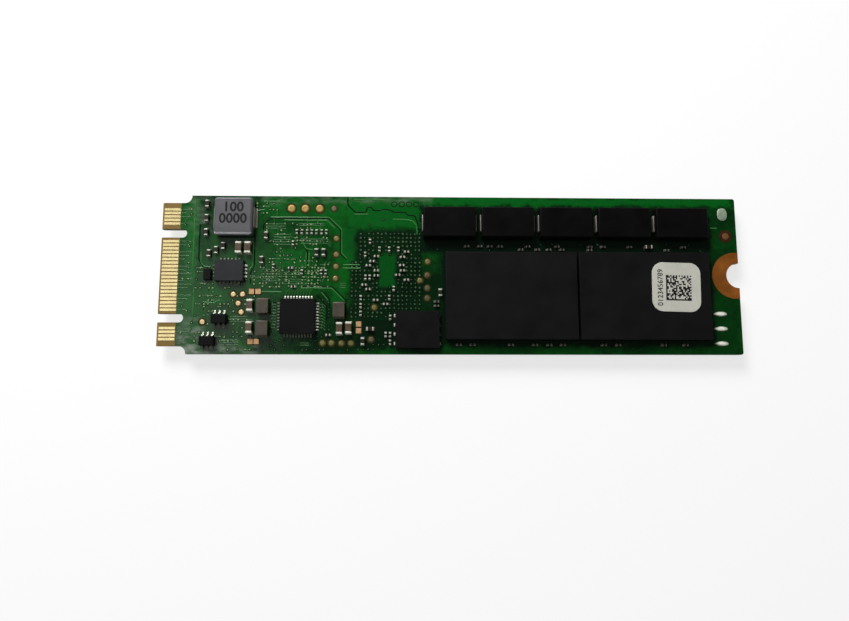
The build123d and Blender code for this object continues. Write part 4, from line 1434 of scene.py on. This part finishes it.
class DRIVECARD_OT_two_ended(bpy.types.Operator):
    """Stamps the coils, capacitors and resistors with their end caps and solder feet"""

    bl_idname = "drive_card.two_ended"
    bl_label = "Two-ended chips"
    bl_options = {"REGISTER", "UNDO"}

    # Family, finish and slot of the bodies, finish of the ends
    FAMILIES = [
        ("coil_chip", "coil", "coil_grey", "dull_point"),
        ("capacitor_chip", "ceramic", "ceramic_tan", "solder"),
        ("small_chip", "tiny", "ceramic_tan", "small_tin"),
        ("resistor_chip", "glaze", "resistor_black", "small_tin"),
        ("tiny_chip", "tiny", "ceramic_tan", "tiny_tin"),
    ]
    FOOT_STEPS = 4

    def execute(self, context):
        detail = context.scene.drive_card_detail
        reach = detail.solder_foot / MM
        for family, key, slot, tin in self.FAMILIES:
            places, sizes = self.seats(family)
            draw = self.coil if family == "coil_chip" else self.capped
            body, caps = draw(*sizes, reach)
            stamped(f"{family}_blocks", body, places, key, slot, f"{family}_bodies")
            stamped(f"{family}_caps", caps, places, tin, "solder_tin", f"{family}_ends")
        return {"FINISHED"}

    def coil(self, total, width, height, end, reach):
        """A moulded coil with low end plates: its body and its ends."""
        body, caps = bmesh.new(), bmesh.new()
        half = total / 2
        block(body, (-half, -width / 2, 0.1), (half, width / 2, height), 0.09, 2)
        for side in (-1, 1):
            inner, outer = sorted((side * (half - end), side * (half + 0.03)))
            block(caps, (inner, -width / 2.2, 0), (outer, width / 2.2, 0.4), 0.03)
            self.foot(caps, side * (half + 0.02), side, width * 0.9, 0.36, reach)
        return body, caps

    def capped(self, total, width, height, end, reach):
        """A chip with end caps that stand a little proud: its body and its ends."""
        body, caps = bmesh.new(), bmesh.new()
        half = total / 2
        edge = min(0.06, 0.12 * width)
        reach = min(reach, 0.25 * total)
        block(body, (end - half, -width / 2, 0.02), (half - end, width / 2, height), edge * 0.5)
        for side in (-1, 1):
            inner, outer = sorted((side * (half - end), side * half))
            low, high = (inner, -width / 2 - 0.02, 0), (outer, width / 2 + 0.02, height + 0.02)
            block(caps, low, high, edge)
            self.foot(caps, side * (half - edge / 2), side, width, height * 0.7, reach)
        return body, caps

    def seats(self, family):
        """Where a family's chips sit, how they are turned, and the chip's sizes."""
        ends = solids_of(f"{family}_ends")
        centres = [(low + high) / 2 for low, high in ends]
        places = []
        for low, high in solids_of(f"{family}_bodies"):
            middle = (low + high) / 2
            near = min(range(len(ends)), key=lambda n: (centres[n] - middle).length)
            away = centres[near] - middle
            upright = abs(away.y) > abs(away.x)
            places.append((middle.x, middle.y, CARD_TOP, math.pi / 2 if upright else 0.0, 0))
            body, cap = high - low, ends[near][1] - ends[near][0]
            along, across = (1, 0) if upright else (0, 1)
            sizes = (body[along] + 2 * cap[along], body[across], body.z, cap[along])
        return places, sizes

    def foot(self, bm, x, side, width, height, reach):
        """Adds the hollow foot of solder at a chip's end."""
        rim = [(x, 0.0)]
        for n in range(self.FOOT_STEPS):
            angle = math.pi / 2 * n / (self.FOOT_STEPS - 1)
            rim.append((x + side * reach * (1 - math.cos(angle)), height * (1 - math.sin(angle))))
        rows = [
            [bm.verts.new((a, y * (1 + 0.12 * (b < height / 2)), b)) for a, b in rim]
            for y in (-width / 2, width / 2)
        ]
        for n in range(len(rim)):
            after = (n + 1) % len(rim)
            if (rows[0][n].co - rows[0][after].co).length > 1e-6:
                face = bm.faces.new((rows[0][n], rows[0][after], rows[1][after], rows[1][n]))
                face.smooth = 0 < n < len(rim) - 1
        bm.faces.new(rows[0])
        bm.faces.new(list(reversed(rows[1])))


class DRIVECARD_OT_label(bpy.types.Operator):
    """Rounds the paper label and prints a code-like block and plain digits on it"""

    bl_idname = "drive_card.label"
    bl_label = "Code label"
    bl_options = {"REGISTER", "UNDO"}

    ROUND = 0.02
    TURN = math.radians(-1.5)
    CODE_OFFSET = Vector((0.31, -0.1, 0.0))
    CODE_HEIGHT = 0.008
    DIGITS_OFFSET = Vector((-2.2, -0.1, 0.0))
    DIGIT_HEIGHT, DIGIT_BOLD = 1.02, 0.01

    def execute(self, context):
        detail = context.scene.drive_card_detail
        softened("code_label", "code_label_paper", "paper", "label_paper", self.ROUND, 1)
        low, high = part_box("code_label")
        middle = (low + high) / 2
        top = Matrix.Translation((middle.x, middle.y, high.z)) @ Matrix.Rotation(self.TURN, 4, "Z")
        code = grown(
            "label_code", bpy.data.meshes.new("code_start"), "code",
            {"Finish": finish("ink"), "Size": detail.code_size, "Cells": detail.code_cells,
             "Height": self.CODE_HEIGHT * MM, "Seed": detail.code_seed},
        )
        code.transform(top @ Matrix.Translation(self.CODE_OFFSET * MM))
        piece_of(code, "label_code", "label_paper")
        place = top @ Matrix.Translation(self.DIGITS_OFFSET * MM)
        place = place @ Matrix.Rotation(math.pi / 2, 4, "Z")
        digits_piece(
            "label_digits", detail.label_digits, self.DIGIT_HEIGHT, self.DIGIT_BOLD, place,
            "label_paper",
        )
        return {"FINISHED"}


class DRIVECARD_OT_stage(bpy.types.Operator):
    """Sets the floor, the lamps, the surround and the camera"""

    bl_idname = "drive_card.stage"
    bl_label = "Stage"
    bl_options = {"REGISTER", "UNDO"}

    # Lamps: name of its power setting, place and size in metres
    LAMPS = [
        ("key_lamp", (-0.1, 0.2, 0.17), 0.12),
        ("gloss_lamp", (-0.24, 0.015, 0.47), 0.22),
        ("fill_lamp", (0.5, -0.05, 0.25), 0.4),
    ]
    FLOOR_HALF = 1500
    FLOOR_DROP = 0.02
    FLOOR_GREY = 0.3
    # Glow of the floor as light, and where it is seen
    FLOOR_GLOW = (0.65, 0.72)
    VIEW_RANGE = (0.001, 20.0)

    def execute(self, context):
        stage = context.scene.drive_card_stage
        context.scene.view_settings.view_transform = "Standard"
        self.floor()
        self.surround(context.scene, stage)
        for name, place, size in self.LAMPS:
            self.lamp(name, place, size, getattr(stage, name))
        self.camera(context.scene, stage)
        return {"FINISHED"}

    def floor(self):
        """A pale floor that keeps the card's shadow and lets the underside be seen from below."""
        bm = bmesh.new()
        bmesh.ops.create_grid(bm, x_segments=2, y_segments=2, size=self.FLOOR_HALF)
        bmesh.ops.translate(bm, vec=(0, 0, -self.FLOOR_DROP), verts=bm.verts)
        bmesh.ops.scale(bm, vec=(MM,) * 3, verts=bm.verts)
        mesh = bpy.data.meshes.new("floor")
        bm.to_mesh(mesh)
        bm.free()
        material = bpy.data.materials.new("floor_paper")
        material.use_nodes = True
        sheet = Sheet(material.node_tree)
        sheet.tree.nodes.clear()
        shade = sheet.add("ShaderNodeBsdfDiffuse", {"Color": (*(self.FLOOR_GREY,) * 3, 1.0)})
        strength = sheet.span(self.seen(sheet), 0.0, 1.0, *self.FLOOR_GLOW)
        glow = sheet.add("ShaderNodeEmission", {"Strength": strength})
        both = sheet.add("ShaderNodeAddShader", {0: shade, 1: glow})
        below = sheet.add("ShaderNodeNewGeometry", out="Backfacing")
        clear = sheet.add("ShaderNodeBsdfTransparent")
        final = sheet.add("ShaderNodeMixShader", {0: below, 1: both, 2: clear})
        output = sheet.tree.nodes.new("ShaderNodeOutputMaterial")
        sheet.tree.links.new(final, output.inputs["Surface"])
        mesh.materials.append(material)
        shown("floor", mesh)

    def rays(self, sheet):
        """Whether a ray comes from the camera, and whether from a mirror or clear glass."""
        path = sheet.tree.nodes.new("ShaderNodeLightPath").outputs
        return (
            path["Is Camera Ray"], sheet.most(path["Is Glossy Ray"], path["Is Transmission Ray"])
        )

    def seen(self, sheet):
        """Whether a ray comes from the camera, a mirror or clear glass."""
        return sheet.most(*self.rays(sheet))

    def surround(self, scene, stage):
        """An even surround: white where it is seen, dimmer as light."""
        world = bpy.data.worlds.new("surround")
        world.use_nodes = True
        scene.world = world
        sheet = Sheet(world.node_tree)
        back = world.node_tree.nodes["Background"]
        back.inputs["Color"].default_value = (1.0, 1.0, 1.0, 1.0)
        height = sheet.axes(sheet.add("ShaderNodeTexCoord", out="Generated"))[2]
        overhead = sheet.span(height, 0.2, 0.7, 1.0, stage.overhead)
        direct, mirrored = self.rays(sheet)
        white = sheet.most(direct, sheet.times(mirrored, overhead))
        level = sheet.most(white, sheet.span(self.seen(sheet), 0.0, 1.0, stage.surround, 0.0))
        sheet.tree.links.new(level, back.inputs["Strength"])

    def lamp(self, name, place, size, power):
        """A soft square lamp that looks at the card."""
        data = bpy.data.lights.new(name, "AREA")
        data.size = size
        data.energy = power
        lamp = shown(name, data)
        lamp.location = place
        lamp.rotation_euler = (-Vector(place)).to_track_quat("-Z", "Y").to_euler()

    def camera(self, scene, stage):
        """The photograph's view."""
        data = bpy.data.cameras.new("camera")
        data.sensor_width = SENSOR
        data.lens = stage.lens
        data.clip_start, data.clip_end = self.VIEW_RANGE
        camera = shown("camera", data)
        back = -Vector(stage.camera_aim).normalized()
        right = Vector(stage.camera_up).cross(back).normalized()
        turn = Matrix((right, back.cross(right), back)).transposed().to_4x4()
        camera.matrix_world = Matrix.Translation(stage.camera_place) @ turn
        scene.camera = camera


class DRIVECARD_PT_panel(bpy.types.Panel):
    """Lists the card's steps, colours and sizes"""

    bl_idname = "DRIVECARD_PT_panel"
    bl_label = "Drive card"
    bl_space_type = "VIEW_3D"
    bl_region_type = "UI"
    bl_category = "Drive card"

    def draw(self, context):
        for step in STEPS:
            self.layout.operator(step.bl_idname)
        for group in SETTINGS:
            box = self.layout.box()
            settings = getattr(context.scene, group)
            for key in settings.__annotations__:
                box.prop(settings, key)


SETTINGS = {
    "drive_card_finish": DriveCardFinish,
    "drive_card_detail": DriveCardDetail,
    "drive_card_stage": DriveCardStage,
}
STEPS = (
    DRIVECARD_OT_board,
    DRIVECARD_OT_tracks,
    DRIVECARD_OT_vias,
    DRIVECARD_OT_pads,
    DRIVECARD_OT_packages,
    DRIVECARD_OT_holdup,
    DRIVECARD_OT_inductor,
    DRIVECARD_OT_flat_chips,
    DRIVECARD_OT_two_ended,
    DRIVECARD_OT_label,
    DRIVECARD_OT_stage,
)
CLASSES = (*SETTINGS.values(), *STEPS, DRIVECARD_PT_panel)


def register():
    """Adds the classes and the scene's settings."""
    for kind in CLASSES:
        bpy.utils.register_class(kind)
    for group, kind in SETTINGS.items():
        setattr(bpy.types.Scene, group, PointerProperty(type=kind))


def unregister():
    """Takes the classes and settings away again."""
    for group in SETTINGS:
        delattr(bpy.types.Scene, group)
    for kind in reversed(CLASSES):
        bpy.utils.unregister_class(kind)


def main():
    """Builds the looks in order."""
    register()
    bpy.ops.drive_card.board()
    bpy.ops.drive_card.tracks()
    bpy.ops.drive_card.vias()
    bpy.ops.drive_card.pads()
    bpy.ops.drive_card.packages()
    bpy.ops.drive_card.holdup()
    bpy.ops.drive_card.inductor()
    bpy.ops.drive_card.flat_chips()
    bpy.ops.drive_card.two_ended()
    bpy.ops.drive_card.label()
    bpy.ops.drive_card.stage()


if __name__ == "__main__":
    main()
